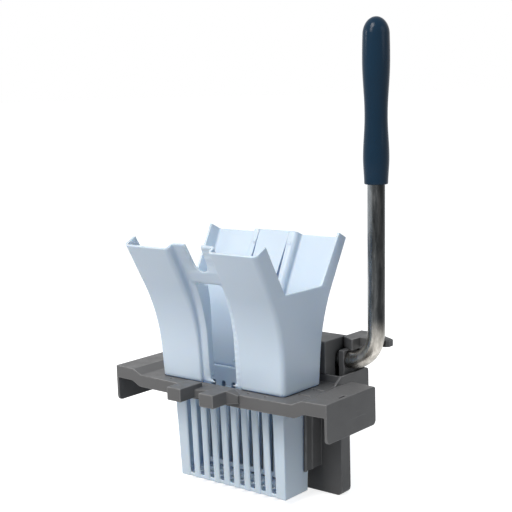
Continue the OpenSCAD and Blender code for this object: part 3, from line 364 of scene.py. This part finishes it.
def frame_plastic():
    """Fine matt grain, painted highlights on proud edges, painted shade in narrow pockets and gaps, and
    scratches on the outside of the right flange.
    """
    mat, tree, shader = moulded("frame_plastic", (0.126, 0.127, 0.130), gloss=(0.36, 0.50), grain=1500,
                                grain_depth=0.05, mottle=0.05, specular=0.15)
    # painted highlight along the frame's proud edges
    edge_highlight(tree, shader, (0.24, 0.24, 0.245), low=0.505, high=0.535)
    scratches(tree, shader, centre=(0.170, 0.014, -0.013), reach=0.032, color=(0.165, 0.165, 0.17))
    # painted shade, near black, in the deck's pockets and other narrow gaps
    crevice_shade(tree, shader, reach=0.008, dark=grey(0.08))
    return mat


def pad_plastic():
    return moulded("pad_plastic", (0.8, 0.8, 0.77), gloss=(0.3, 0.42), grain=900,
                   grain_depth=0.02, mottle=0.01)[0]


def grip_plastic():
    return moulded("grip_plastic", (0.0035, 0.023, 0.050), gloss=(0.16, 0.24), grain=700,
                   grain_depth=0.004, mottle=0.06, specular=0.14)[0]


def bush_plastic():
    return moulded("bush_plastic", (0.03, 0.03, 0.031), gloss=(0.34, 0.46), grain=900,
                   grain_depth=0.02, mottle=0.03)[0]


def galvanised_steel():
    """Zinc coat: dark streaks along the tube, spangle and dull patches, with a painted highlight on the
    side that faces front left, painted shade on the side away from it, and a painted highlight on the
    bend.
    """
    mat, tree, shader = material("galvanised_steel", (0.5, 0.5, 0.48), 0.4, metallic=0.9)
    streaky = coords(tree, (1, 1, 0.16))
    streak = noise(tree, streaky, scale=130, detail=5, rough=0.65)
    tone = ramp(tree, streak, [(0.28, (0.014, 0.016, 0.017)), (0.5, (0.056, 0.060, 0.062)),
                               (0.74, (0.15, 0.15, 0.148))])
    # lighter tone for the painted highlight on the side that faces front left
    lit_side_tone = ramp(tree, streak, [(0.28, (0.14, 0.15, 0.155)), (0.5, (0.25, 0.265, 0.275)),
                                (0.74, (0.38, 0.39, 0.39))])
    front_left = faces_toward(tree, (-0.574, -0.819, 0))
    tone = tint(tree, ramp(tree, front_left, [(0.70, BLACK), (0.94, WHITE)]), tone, lit_side_tone)
    # painted shade: darker on the side that faces away from front left
    tone = times(tree, tone, ramp(tree, front_left, [(0.0, grey(0.42)), (0.42, WHITE)]))
    # painted highlight: a paler tone, in patches, mixed in near the bend
    blotch = noise(tree, coords(tree, (1, 1, 0.4)), scale=120, detail=5, rough=0.65)
    pale = ramp(tree, blotch, [(0.25, (0.16, 0.15, 0.135)), (0.5, (0.50, 0.475, 0.43)),
                               (0.74, (0.78, 0.75, 0.70))])
    from_bend = distance_to(tree, (0.146, 0.080, 0.030))
    tone = tint(tree, ramp(tree, from_bend, [(0.014, WHITE), (0.048, BLACK)]), tone, pale)
    cells = node(tree, "ShaderNodeTexVoronoi", Scale=190.0)
    tree.links.new(coords(tree, (1, 1, 0.45)), cells.inputs["Vector"])
    spangle = ramp(tree, cells.outputs["Color"], [(0.0, grey(0.82)), (1.0, grey(1.1))])
    tree.links.new(times(tree, tone, spangle), shader.inputs["Base Color"])
    dull = noise(tree, streaky, scale=70, detail=4, rough=0.6)
    dull = ramp(tree, dull, [(0.3, grey(0.20)), (0.7, grey(0.38))])
    tree.links.new(dull, shader.inputs["Roughness"])
    bump(tree, shader, noise(tree, streaky, scale=210, detail=4), 0.06)
    return mat


def plated_steel():
    mat, tree, shader = material("plated_steel", (0.6, 0.6, 0.58), 0.32, metallic=1.0)
    at = coords(tree)
    tone = noise(tree, at, scale=90, detail=3)
    tone = ramp(tree, tone, [(0.3, (0.5, 0.5, 0.48)), (0.7, (0.68, 0.68, 0.66))])
    tree.links.new(tone, shader.inputs["Base Color"])
    dull = noise(tree, at, scale=240, detail=3)
    dull = ramp(tree, dull, [(0.3, grey(0.24)), (0.7, grey(0.42))])
    tree.links.new(dull, shader.inputs["Roughness"])
    bump(tree, shader, noise(tree, at, scale=500, detail=2), 0.01)
    return mat


MATERIALS = {make.__name__: make() for make in (blue_plastic, frame_plastic, pad_plastic, grip_plastic,
                                                bush_plastic, galvanised_steel, plated_steel)}


def dress(obj, slot):
    obj.data.materials.clear()
    obj.data.materials.append(MATERIALS[slot])


for part in frame["record"]["subparts"]:
    dress(nodes[part["node"]], part["material_slot"])

# Soft edges on CAD shapes: size of the cells in mm, smoothing passes, share of the faces kept

MOULDED = {"frame": (0.6, 4, 0.2), "basket": (0.7, 9, 0.25), "press_jaw": (0.7, 4, 0.25),
           "mechanism_cover": (0.7, 5, 0.2), "lever_stop": (0.6, 5, 0.3),
           "bearing_bracket_right": (0.6, 4, 0.3), "bearing_bracket_left": (0.6, 4, 0.3)}

# strip of the basket's front wall that would show above the deck: half width, reach in y and in z
STRIP_HALF = 36
STRIP_Y = (-36, -31.5)
STRIP_Z = (-6, 2)


def make_basket():
    """The CAD basket, with its front wall kept below the deck's edge where the window shows it."""
    mesh = nodes["basket"].data.copy()
    obj = bpy.data.objects.new("basket_moulded", mesh)
    mesh.name = obj.name
    bpy.context.scene.collection.objects.link(obj)
    obj.matrix_world = nodes["basket"].matrix_world
    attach(obj, "stand")
    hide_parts("basket")
    bm = bmesh.new()
    bm.from_mesh(mesh)
    bmesh.ops.remove_doubles(bm, verts=bm.verts, dist=WELD_GAP / 2 * MM)
    bm.to_mesh(mesh)
    bm.free()
    boolean(obj, [block(-STRIP_HALF, STRIP_HALF, *STRIP_Y, *STRIP_Z)], "DIFFERENCE")
    dress(obj, "blue_plastic")
    return obj


for name, settings in MOULDED.items():
    mould_edges(make_basket() if name == "basket" else nodes[name], *settings)

# Hopper sizes, in millimetres

DECK_TOP = -3.0
FOOT_Z = DECK_TOP + 1.2
LIP_Z = DECK_TOP + 174.0
WALL_T = 3.0
HALF_W = 98.8
SIDE_DRAFT = 0.036
SIDE_CORNER_R = 7.0
FLARE_LOW = 0.055
FLARE_HIGH = 0.52
FLARE_R = 204.0
LOW_ANGLE = math.atan(FLARE_LOW)
HIGH_ANGLE = math.atan(FLARE_HIGH)
FOOT_Y = 37.2
MOUTH_Y = 89.7
RECESS_FOOT_Y = 31.7
RECESS_D = 11.5
RECESS_LIP_Z = LIP_Z + RECESS_D * math.sin(HIGH_ANGLE)
WALL = ((FOOT_Y, FOOT_Z), (MOUTH_Y, LIP_Z))
RECESS = ((RECESS_FOOT_Y, FOOT_Z), (MOUTH_Y - RECESS_D * math.cos(HIGH_ANGLE), RECESS_LIP_Z))
FRONT_RECESS_HALF = 32.0
REAR_RECESS_HALF = 33.2
# fillet of a recess: largest radius, and share of the recess's depth
WIDE_FILLET = (6.5, 0.56)
TIGHT_FILLET = (3.0, 0.36)
EDGE_R = 0.8
# heights of the funnel's outlines above its foot
FIRST_LEVEL = 2
LEVEL_STEP = 4
ABOVE_LIPS = 210
BAR_TOP = DECK_TOP + 15
BAR_HALF = 36.0
BAR_Y = (34.4, 37.15)
BAR_GAP = 0.3
STEP_INNER = 27.6
STEP_Y = (28.9, 37.1)
STEP_T = 3
# solids that are joined reach into each other by one of these
SINK = 0.1
DEEP_SINK = 1
WINDOW_HALF = 21.7
WINDOW_TOP = DECK_TOP + 130
WINDOW_FOOT = FOOT_Z + 7
WINDOW_TOP_R = 5
WINDOW_FOOT_R = 7
JAMB_T = 2.5
JAMB_Z = [FOOT_Z, 100, LIP_Z]
JAMB_REAR_Y = [23.7, 26.7, 39.7]
NOTCH_LOW = DECK_TOP + 122.6
NOTCH_HALF = 36.0
NOTCH_R = 5.0
NOTCH_SLOPE = FLARE_HIGH + 0.06
DIP_LOW = DECK_TOP + 145
DIP_HALF = 12.7
DIP_BOWL_HALF = 11.7
DIP_MOUTH_HALF = 15.7
HINGE = (74.5, 160)
HINGE_BORE_R = 2.6
HINGE_BORE_HALF = 31.9
EAR_R = 6.5
EAR_X = (25.6, 31.6)
# the gap beside the tongue narrows from its wide half below to its slim half above
GAP_WIDE = (27.1, 115)
GAP_SLIM = (24.7, 168.6)
GAP_FLANGE_T = 2.5
GAP_FLANGE_H = 5
GAP_FLANGE_TOP = 155.6
GAP_FOOT_Y = 34.2
# cutters end here, past the walls on every side
BEYOND = 200.0
CEILING = 420.0


def flare(profile, z, inset=0.0):
    """Distance of a flared wall from the centre plane at a height."""
    (y0, z0), (y1, z1) = profile
    knee = (y1 - FLARE_HIGH * z1 - y0 + FLARE_LOW * z0) / (FLARE_LOW - FLARE_HIGH)
    y_knee = y0 + FLARE_LOW * (knee - z0)
    run = FLARE_R * math.tan((HIGH_ANGLE - LOW_ANGLE) / 2)
    cy = y_knee - run * math.sin(LOW_ANGLE) + FLARE_R * math.cos(LOW_ANGLE)
    cz = knee - run * math.cos(LOW_ANGLE) - FLARE_R * math.sin(LOW_ANGLE)
    r = FLARE_R + inset
    if z <= cz + r * math.sin(LOW_ANGLE):
        return y0 - inset / math.cos(LOW_ANGLE) + FLARE_LOW * (z - z0)
    if z <= cz + r * math.sin(HIGH_ANGLE):
        return cy - math.sqrt(r * r - (z - cz) ** 2)
    return y1 - inset * math.cos(HIGH_ANGLE) + FLARE_HIGH * (z - z1 - inset * math.sin(HIGH_ANGLE))


def fillets(corners, steps=6):
    """A closed outline from (x, y, radius) corners whose sides are square to each other."""
    out = []
    n = len(corners)
    for i, (x, y, r) in enumerate(corners):
        px, py, _ = corners[i - 1]
        nx, ny, _ = corners[(i + 1) % n]
        a = Vector((px - x, py - y)).normalized()
        b = Vector((nx - x, ny - y)).normalized()
        centre = Vector((x, y)) + (a + b) * r
        for k in range(steps + 1):
            t = math.pi / 2 * k / steps
            p = centre - (b * math.cos(t) + a * math.sin(t)) * r
            out.append((p.x, p.y))
    return out


def funnel_ring(z, inset):
    """Outline of the funnel at a height, with recesses in the middle of its front and rear walls."""
    x = HALF_W + SIDE_DRAFT * (z - DECK_TOP) - inset
    wall = flare(WALL, z, inset)
    panel = flare(RECESS, z, inset)
    front = FRONT_RECESS_HALF + inset
    rear = REAR_RECESS_HALF + inset
    corner = SIDE_CORNER_R - inset
    out_r, in_r = [min(limit, (wall - panel) * share) for limit, share in (WIDE_FILLET, TIGHT_FILLET)]
    if inset:
        out_r, in_r = in_r, out_r
    ring = fillets([(-x, -wall, corner), (-front, -wall, out_r), (-front, -panel, in_r),
                    (front, -panel, in_r), (front, -wall, out_r), (x, -wall, corner),
                    (x, wall, corner), (rear, wall, out_r), (rear, panel, in_r),
                    (-rear, panel, in_r), (-rear, wall, out_r), (-x, wall, corner)])
    return [(a, b, z) for a, b in ring]


def profile_prism(x0, x1, near, far, z0, z1, sign=1, steps=24):
    """A solid between two curves y(z), over a width; sign -1 puts it in front."""
    levels = [z0 + (z1 - z0) * i / steps for i in range(steps + 1)]
    outline = [(sign * near(z), z) for z in levels] + [(sign * far(z), z) for z in reversed(levels)]
    return prism("x", outline, x0, x1)


def lip_cutter(sign):
    """Everything above a slanted lip, square to the flared wall."""
    peak = LIP_Z + MOUTH_Y * FLARE_HIGH
    far = sign * BEYOND
    outline = [(0, peak), (far, peak - FLARE_HIGH * BEYOND), (far, CEILING), (0, CEILING)]
    return prism("x", outline, -BEYOND, BEYOND)


def funnel():
    """The plain funnel with its slanted lips."""
    levels = [FOOT_Z, *range(FIRST_LEVEL, ABOVE_LIPS, LEVEL_STEP)]
    outer = [funnel_ring(z, 0) for z in levels]
    inner = [funnel_ring(z, WALL_T) for z in levels]
    skin = loft(outer + inner[::-1], close=True)
    shell = place("hopper_shell", *skin, "stand", "blue_plastic", ("hopper",))
    tidy_normals(shell.data)
    boolean(shell, [lip_cutter(1), lip_cutter(-1)], "DIFFERENCE")
    return shell


def cross_bar():
    """The bar at the foot of the rear wall, with a step at each end."""
    bar = block(-BAR_HALF, BAR_HALF, *BAR_Y, FOOT_Z + BAR_GAP, BAR_TOP)

    def step(lo, hi):
        return block(lo, hi, *STEP_Y, BAR_TOP - STEP_T, BAR_TOP - SINK)

    return [bar, *both_sides(step, STEP_INNER, BAR_HALF)]


def window_jambs():
    def front_edge(z):
        return flare(RECESS, z, WALL_T - DEEP_SINK)

    def rear_edge(z):
        return np.interp(z, JAMB_Z, JAMB_REAR_Y)

    def jamb(lo, hi):
        return profile_prism(lo, hi, front_edge, rear_edge, WINDOW_FOOT, WINDOW_TOP, -1)

    return both_sides(jamb, WINDOW_HALF, WINDOW_HALF + JAMB_T)


def hinge_ear(lo, hi):
    """An eye for the tongue's hinge pin, on an arm from the rear wall."""
    def wall_side(z):
        return flare(RECESS, z, WALL_T / 2)

    def eye_side(z):
        return HINGE[0] + DEEP_SINK

    half = EAR_R - 0.2
    arm = profile_prism(lo, hi, wall_side, eye_side, HINGE[1] - half, HINGE[1] + half, 1, 4)
    return [rod("x", HINGE, EAR_R, lo, hi), arm]


def gap_flange(side):
    """The flange that runs rearward beside the tongue."""
    low = BAR_TOP - DEEP_SINK
    steps = 28
    rings = []
    for i in range(steps + 1):
        z = low + (GAP_FLANGE_TOP - low) * i / steps
        x = np.interp(z, [GAP_WIDE[1], GAP_SLIM[1]], [GAP_WIDE[0], GAP_SLIM[0]])
        near = flare(RECESS, z, DEEP_SINK)
        out = flare(RECESS, z, -GAP_FLANGE_H)
        rings.append([(side * x, near, z), (side * (x + GAP_FLANGE_T), near, z),
                      (side * (x + GAP_FLANGE_T), out, z), (side * x, out, z)])
    return place("cutter", *loft(rings), None)


def ears_and_flanges():
    solids = []
    for side, ear in zip((-1, 1), both_sides(hinge_ear, *EAR_X)):
        solids += [*ear, gap_flange(side)]
    return solids


def side_notches():
    """One cutter across both sides, between the slanted edges of the lips."""
    lean = math.atan(NOTCH_SLOPE)
    reach = 120.0
    corner = NOTCH_HALF - NOTCH_R * math.tan((math.pi / 2 - lean) / 2)
    right = arc(corner, NOTCH_LOW + NOTCH_R, NOTCH_R, -90, -math.degrees(lean), 6)
    right.append((NOTCH_HALF + NOTCH_SLOPE * reach, NOTCH_LOW + reach))
    return prism("x", right + mirrored(right), -BEYOND, BEYOND)


def front_window():
    top = (WINDOW_HALF - WINDOW_TOP_R, WINDOW_TOP - WINDOW_TOP_R)
    foot = WINDOW_HALF - WINDOW_FOOT_R
    below = FOOT_Z - 9
    outline = arc(*top, WINDOW_TOP_R, 0, 90, 6) + arc(-top[0], top[1], WINDOW_TOP_R, 90, 180, 6)
    outline += arc(-foot, WINDOW_FOOT, WINDOW_FOOT_R, 180, 270, 6) + [(-foot, below), (foot, below)]
    outline += arc(foot, WINDOW_FOOT, WINDOW_FOOT_R, 270, 360, 6)
    return prism("y", outline, -BEYOND, 0)


def centre_notch():
    """The round dip in the front wall between the lobes, which widens at its mouth."""
    bowl = [(DIP_BOWL_HALF * math.cos(a), DIP_LOW + DIP_HALF * (1 + math.sin(a)))
            for a in (math.radians(turn) for turn in range(180, 361, 10))]
    above = RECESS_LIP_Z + 20
    below = RECESS_LIP_Z - 4
    outline = [(DIP_MOUTH_HALF, above), (-DIP_MOUTH_HALF, above), (-DIP_HALF, below), *bowl,
               (DIP_HALF, below)]
    return prism("y", outline, -BEYOND, 0)


def tongue_gap(foot, y_far):
    """The gap in the rear wall for the tongue, down to a foot."""
    edge = [(GAP_SLIM[0], RECESS_LIP_Z + 30), GAP_SLIM, GAP_WIDE, (GAP_WIDE[0], foot)]
    return prism("y", edge + mirrored(edge), 0, y_far)


def make_hopper():
    shell = funnel()
    for solids in (cross_bar(), window_jambs(), ears_and_flanges()):
        boolean(shell, solids, "UNION")
    bore = rod("x", HINGE, HINGE_BORE_R, -HINGE_BORE_HALF, HINGE_BORE_HALF, 24)
    boolean(shell, [side_notches(), front_window(), centre_notch(), tongue_gap(BAR_TOP, BEYOND),
                    tongue_gap(FOOT_Z - 1, GAP_FOOT_Y), bore], "DIFFERENCE")
    round_edges(shell, EDGE_R)
    dress(shell, "blue_plastic")


make_hopper()

# Lever sizes, in millimetres

LEAN = math.radians(1.2)
SHAFT = (80.0, 21.0)
SHAFT_END = -120
LEVER_X = 151.0
LEVER_L = 416.0
TUBE_R = 10.65
BORE_R = 8.05
BEND_R = 38.0
TUBE_TOP = LEVER_L - 8
TUBE_SIDES = 64
SHAFT_STEPS = 40
BEND_STEPS = 30
LEG_STEPS = 60
GRIP_L = 197.0
GRIP_DOME = 21.0
GRIP_BORE_R = 11.0
GRIP_TIP_R = 0.15
# the grip is one closed skin; its inside runs between these heights
GRIP_INSIDE = (30.0, 180.0)
# radius and height of the rounded lower rim
GRIP_RIM = [(13.0, 0.0), (13.9, 0.35), (14.35, 1.2)]
GRIP_SIDES = 72
GRIP_STEPS = 90
# the grip's swelling: share of its length and radius, with an even curve from one to the next
GRIP_WAVE = [(0, 14.4), (0.16, 15.8), (0.41, 13.8), (0.75, 16.6)]
GRIP_TAPER = 1.5


def in_lever(x, y, z):
    """A point of the lever, which leans rearward by a little, in the frame's axes."""
    return (x, SHAFT[0] + y * math.cos(LEAN) + z * math.sin(LEAN),
            SHAFT[1] - y * math.sin(LEAN) + z * math.cos(LEAN))


def tube_path():
    """Centre line from the left end of the shaft round the bend and up: x, z and slant."""
    shaft = LEVER_X - BEND_R - SHAFT_END
    leg = TUBE_TOP - BEND_R
    path = [(SHAFT_END + shaft * i / SHAFT_STEPS, 0, 0) for i in range(SHAFT_STEPS)]
    for i in range(BEND_STEPS + 1):
        a = math.radians(90 * i / BEND_STEPS)
        path.append((LEVER_X - BEND_R + BEND_R * math.sin(a), BEND_R - BEND_R * math.cos(a), a))
    path += [(LEVER_X, BEND_R + leg * i / LEG_STEPS, math.pi / 2) for i in range(1, LEG_STEPS + 1)]
    return path


def tube_ring(r, x, z, slant):
    ring = []
    for i in range(TUBE_SIDES):
        a = 2 * math.pi * i / TUBE_SIDES
        out = r * math.cos(a)
        ring.append(in_lever(x - out * math.sin(slant), r * math.sin(a), z + out * math.cos(slant)))
    return ring


def make_tube():
    path = tube_path()
    rings = [tube_ring(TUBE_R, *p) for p in path] + [tube_ring(BORE_R, *p) for p in path[::-1]]
    skin = loft(rings, close=True)
    tube = place("lever_tube_bent", *skin, "lever", "galvanised_steel", ("lever_tube",))
    tidy_normals(tube.data)
    smooth(tube)
    dress(tube, "galvanised_steel")


def grip_radius(s):
    for (s0, r0), (s1, r1) in zip(GRIP_WAVE, GRIP_WAVE[1:]):
        if s < s1:
            return r0 + (r1 - r0) * (1 - math.cos(math.pi * (s - s0) / (s1 - s0))) / 2
    return GRIP_WAVE[-1][1] - GRIP_TAPER * ((s - s1) / (1 - s1)) ** 2


def grip_outline():
    """Radius and height of the turned grip, from inside its bore to just short of the dome's tip."""
    low = 2
    body = GRIP_L - GRIP_DOME
    outline = [(GRIP_BORE_R, GRIP_INSIDE[0]), (GRIP_BORE_R, 0.0), *GRIP_RIM]
    for z in (low + (body - low) * i / GRIP_STEPS for i in range(GRIP_STEPS + 1)):
        outline.append((grip_radius(z / GRIP_L), z))
    top_r = outline[-1][0]
    for a in (math.radians(turn) for turn in range(3, 90, 3)):
        outline.append((top_r * math.cos(a), body + GRIP_DOME * math.sin(a)))
    return outline + [(GRIP_TIP_R, GRIP_L), (GRIP_TIP_R, GRIP_INSIDE[1])]


def make_grip():
    base = LEVER_L - GRIP_L
    turns = [2 * math.pi * i / GRIP_SIDES for i in range(GRIP_SIDES)]
    rings = [[in_lever(LEVER_X + r * math.cos(a), r * math.sin(a), base + z) for a in turns]
             for r, z in grip_outline()]
    skin = loft(rings, close=True)
    grip = place("lever_grip_turned", *skin, "lever", "grip_plastic", ("lever_grip",))
    tidy_normals(grip.data)
    smooth(grip)
    dress(grip, "grip_plastic")


make_tube()
make_grip()

# Stage, lamps and camera, in metres

FLOOR_HALF = 60
FLOOR_GAP = 0.0006
LAMP_CENTRE = Vector((0, 0, 0.1))
LAMP_DISTANCE = 2.4
# the photograph's camera, fitted to the edges of the object; yaw, pitch and roll are in degrees
CAMERA_AT = (0.8884, -1.0336, 0.3568)
CAMERA_TURN = (39.659, 8.512, -1.646)
# focal length and sensor width in millimetres
CAMERA_LENS = 78.54
CAMERA_SENSOR = 36
# name: direction, size, power in watts and colour
LAMPS = {"key": ((-0.12, -0.84, 0.56), 0.9, 16, (1, 0.95, 0.90)),
         "top": ((-0.05, -0.70, 1.0), 1.0, 37, (1, 0.96, 0.92)),
         "side": ((0.95, 0.12, 0.45), 1.4, 6.3, (1, 0.98, 0.96)),
         "left": ((-0.86, -0.50, 0.35), 0.5, 5, (1, 1, 1))}


def seen_by(tree, *rays):
    """1 for the rays that are named, 0 for all others."""
    path = node(tree, "ShaderNodeLightPath")
    seen = path.outputs[rays[0]]
    for ray in rays[1:]:
        either = node(tree, "ShaderNodeMath", operation="MAXIMUM")
        tree.links.new(seen, either.inputs[0])
        tree.links.new(path.outputs[ray], either.inputs[1])
        seen = either.outputs[0]
    return seen


def choose(tree, factor, others, named, out):
    """Sends one shader to the output for the named rays, and another for the others."""
    mix = node(tree, "ShaderNodeMixShader")
    tree.links.new(factor, mix.inputs[0])
    tree.links.new(others, mix.inputs[1])
    tree.links.new(named, mix.inputs[2])
    tree.links.new(mix.outputs[0], out.inputs[0])


def make_floor():
    """White to the camera and in reflections, apart from the shadow; plain to the light it sends back."""
    half = FLOOR_HALF / MM
    floor = place("floor", [(-half, -half, 0), (half, -half, 0), (half, half, 0), (-half, half, 0)],
                  [[0, 1, 2, 3]], None)
    floor.location = (0, 0, cad_box[0][2] - FLOOR_GAP)
    mat = bpy.data.materials.new("floor")
    mat.use_nodes = True
    tree = mat.node_tree
    tree.nodes.clear()
    pale = node(tree, "ShaderNodeBsdfDiffuse", Color=(0.74, 0.74, 0.74, 1))
    lift = node(tree, "ShaderNodeEmission", Color=(1, 1, 1, 1), Strength=0.78)
    dim = node(tree, "ShaderNodeBsdfDiffuse", Color=(0.42, 0.42, 0.42, 1))
    add = node(tree, "ShaderNodeAddShader")
    tree.links.new(pale.outputs[0], add.inputs[0])
    tree.links.new(lift.outputs[0], add.inputs[1])
    choose(tree, seen_by(tree, "Is Camera Ray", "Is Glossy Ray"), dim.outputs[0], add.outputs[0],
           node(tree, "ShaderNodeOutputMaterial"))
    floor.data.materials.append(mat)


def make_world():
    """A soft fill for the object, and white for what is seen directly, through or reflected."""
    world = bpy.data.worlds.new("studio")
    bpy.context.scene.world = world
    world.use_nodes = True
    tree = world.node_tree
    tree.nodes.clear()
    fill = node(tree, "ShaderNodeBackground", Color=(0.87, 0.94, 1, 1), Strength=0.41)
    white = node(tree, "ShaderNodeBackground", Color=(1, 1, 1, 1), Strength=1.0)
    choose(tree, seen_by(tree, "Is Camera Ray", "Is Transmission Ray", "Is Glossy Ray"),
           fill.outputs[0], white.outputs[0], node(tree, "ShaderNodeOutputWorld"))


def make_lamp(name, toward, size, power, color):
    data = bpy.data.lights.new(name, "AREA")
    data.shape = "DISK"
    data.size = size
    data.energy = power
    data.color = color
    obj = bpy.data.objects.new(name, data)
    bpy.context.scene.collection.objects.link(obj)
    way = Vector(toward).normalized()
    obj.location = way * LAMP_DISTANCE + LAMP_CENTRE
    obj.rotation_euler = way.to_track_quat("Z", "Y").to_euler()


def make_camera():
    data = bpy.data.cameras.new("photo")
    data.sensor_width = CAMERA_SENSOR
    data.lens = CAMERA_LENS
    data.clip_start = 0.05
    obj = bpy.data.objects.new("photo", data)
    bpy.context.scene.collection.objects.link(obj)
    yaw, pitch, roll = (math.radians(a) for a in CAMERA_TURN)
    ahead = Vector((-math.sin(yaw) * math.cos(pitch), math.cos(yaw) * math.cos(pitch), -math.sin(pitch)))
    level = Vector((math.cos(yaw), math.sin(yaw), 0))
    up = level.cross(ahead)
    right = level * math.cos(roll) + up * math.sin(roll)
    up = up * math.cos(roll) - level * math.sin(roll)
    turn = Matrix((right, up, -ahead)).transposed().to_4x4()
    obj.matrix_world = Matrix.Translation(CAMERA_AT) @ turn
    bpy.context.scene.camera = obj


make_floor()
make_world()
for name, settings in LAMPS.items():
    make_lamp(name, *settings)
make_camera()
bpy.context.scene.view_settings.view_transform = "Standard"
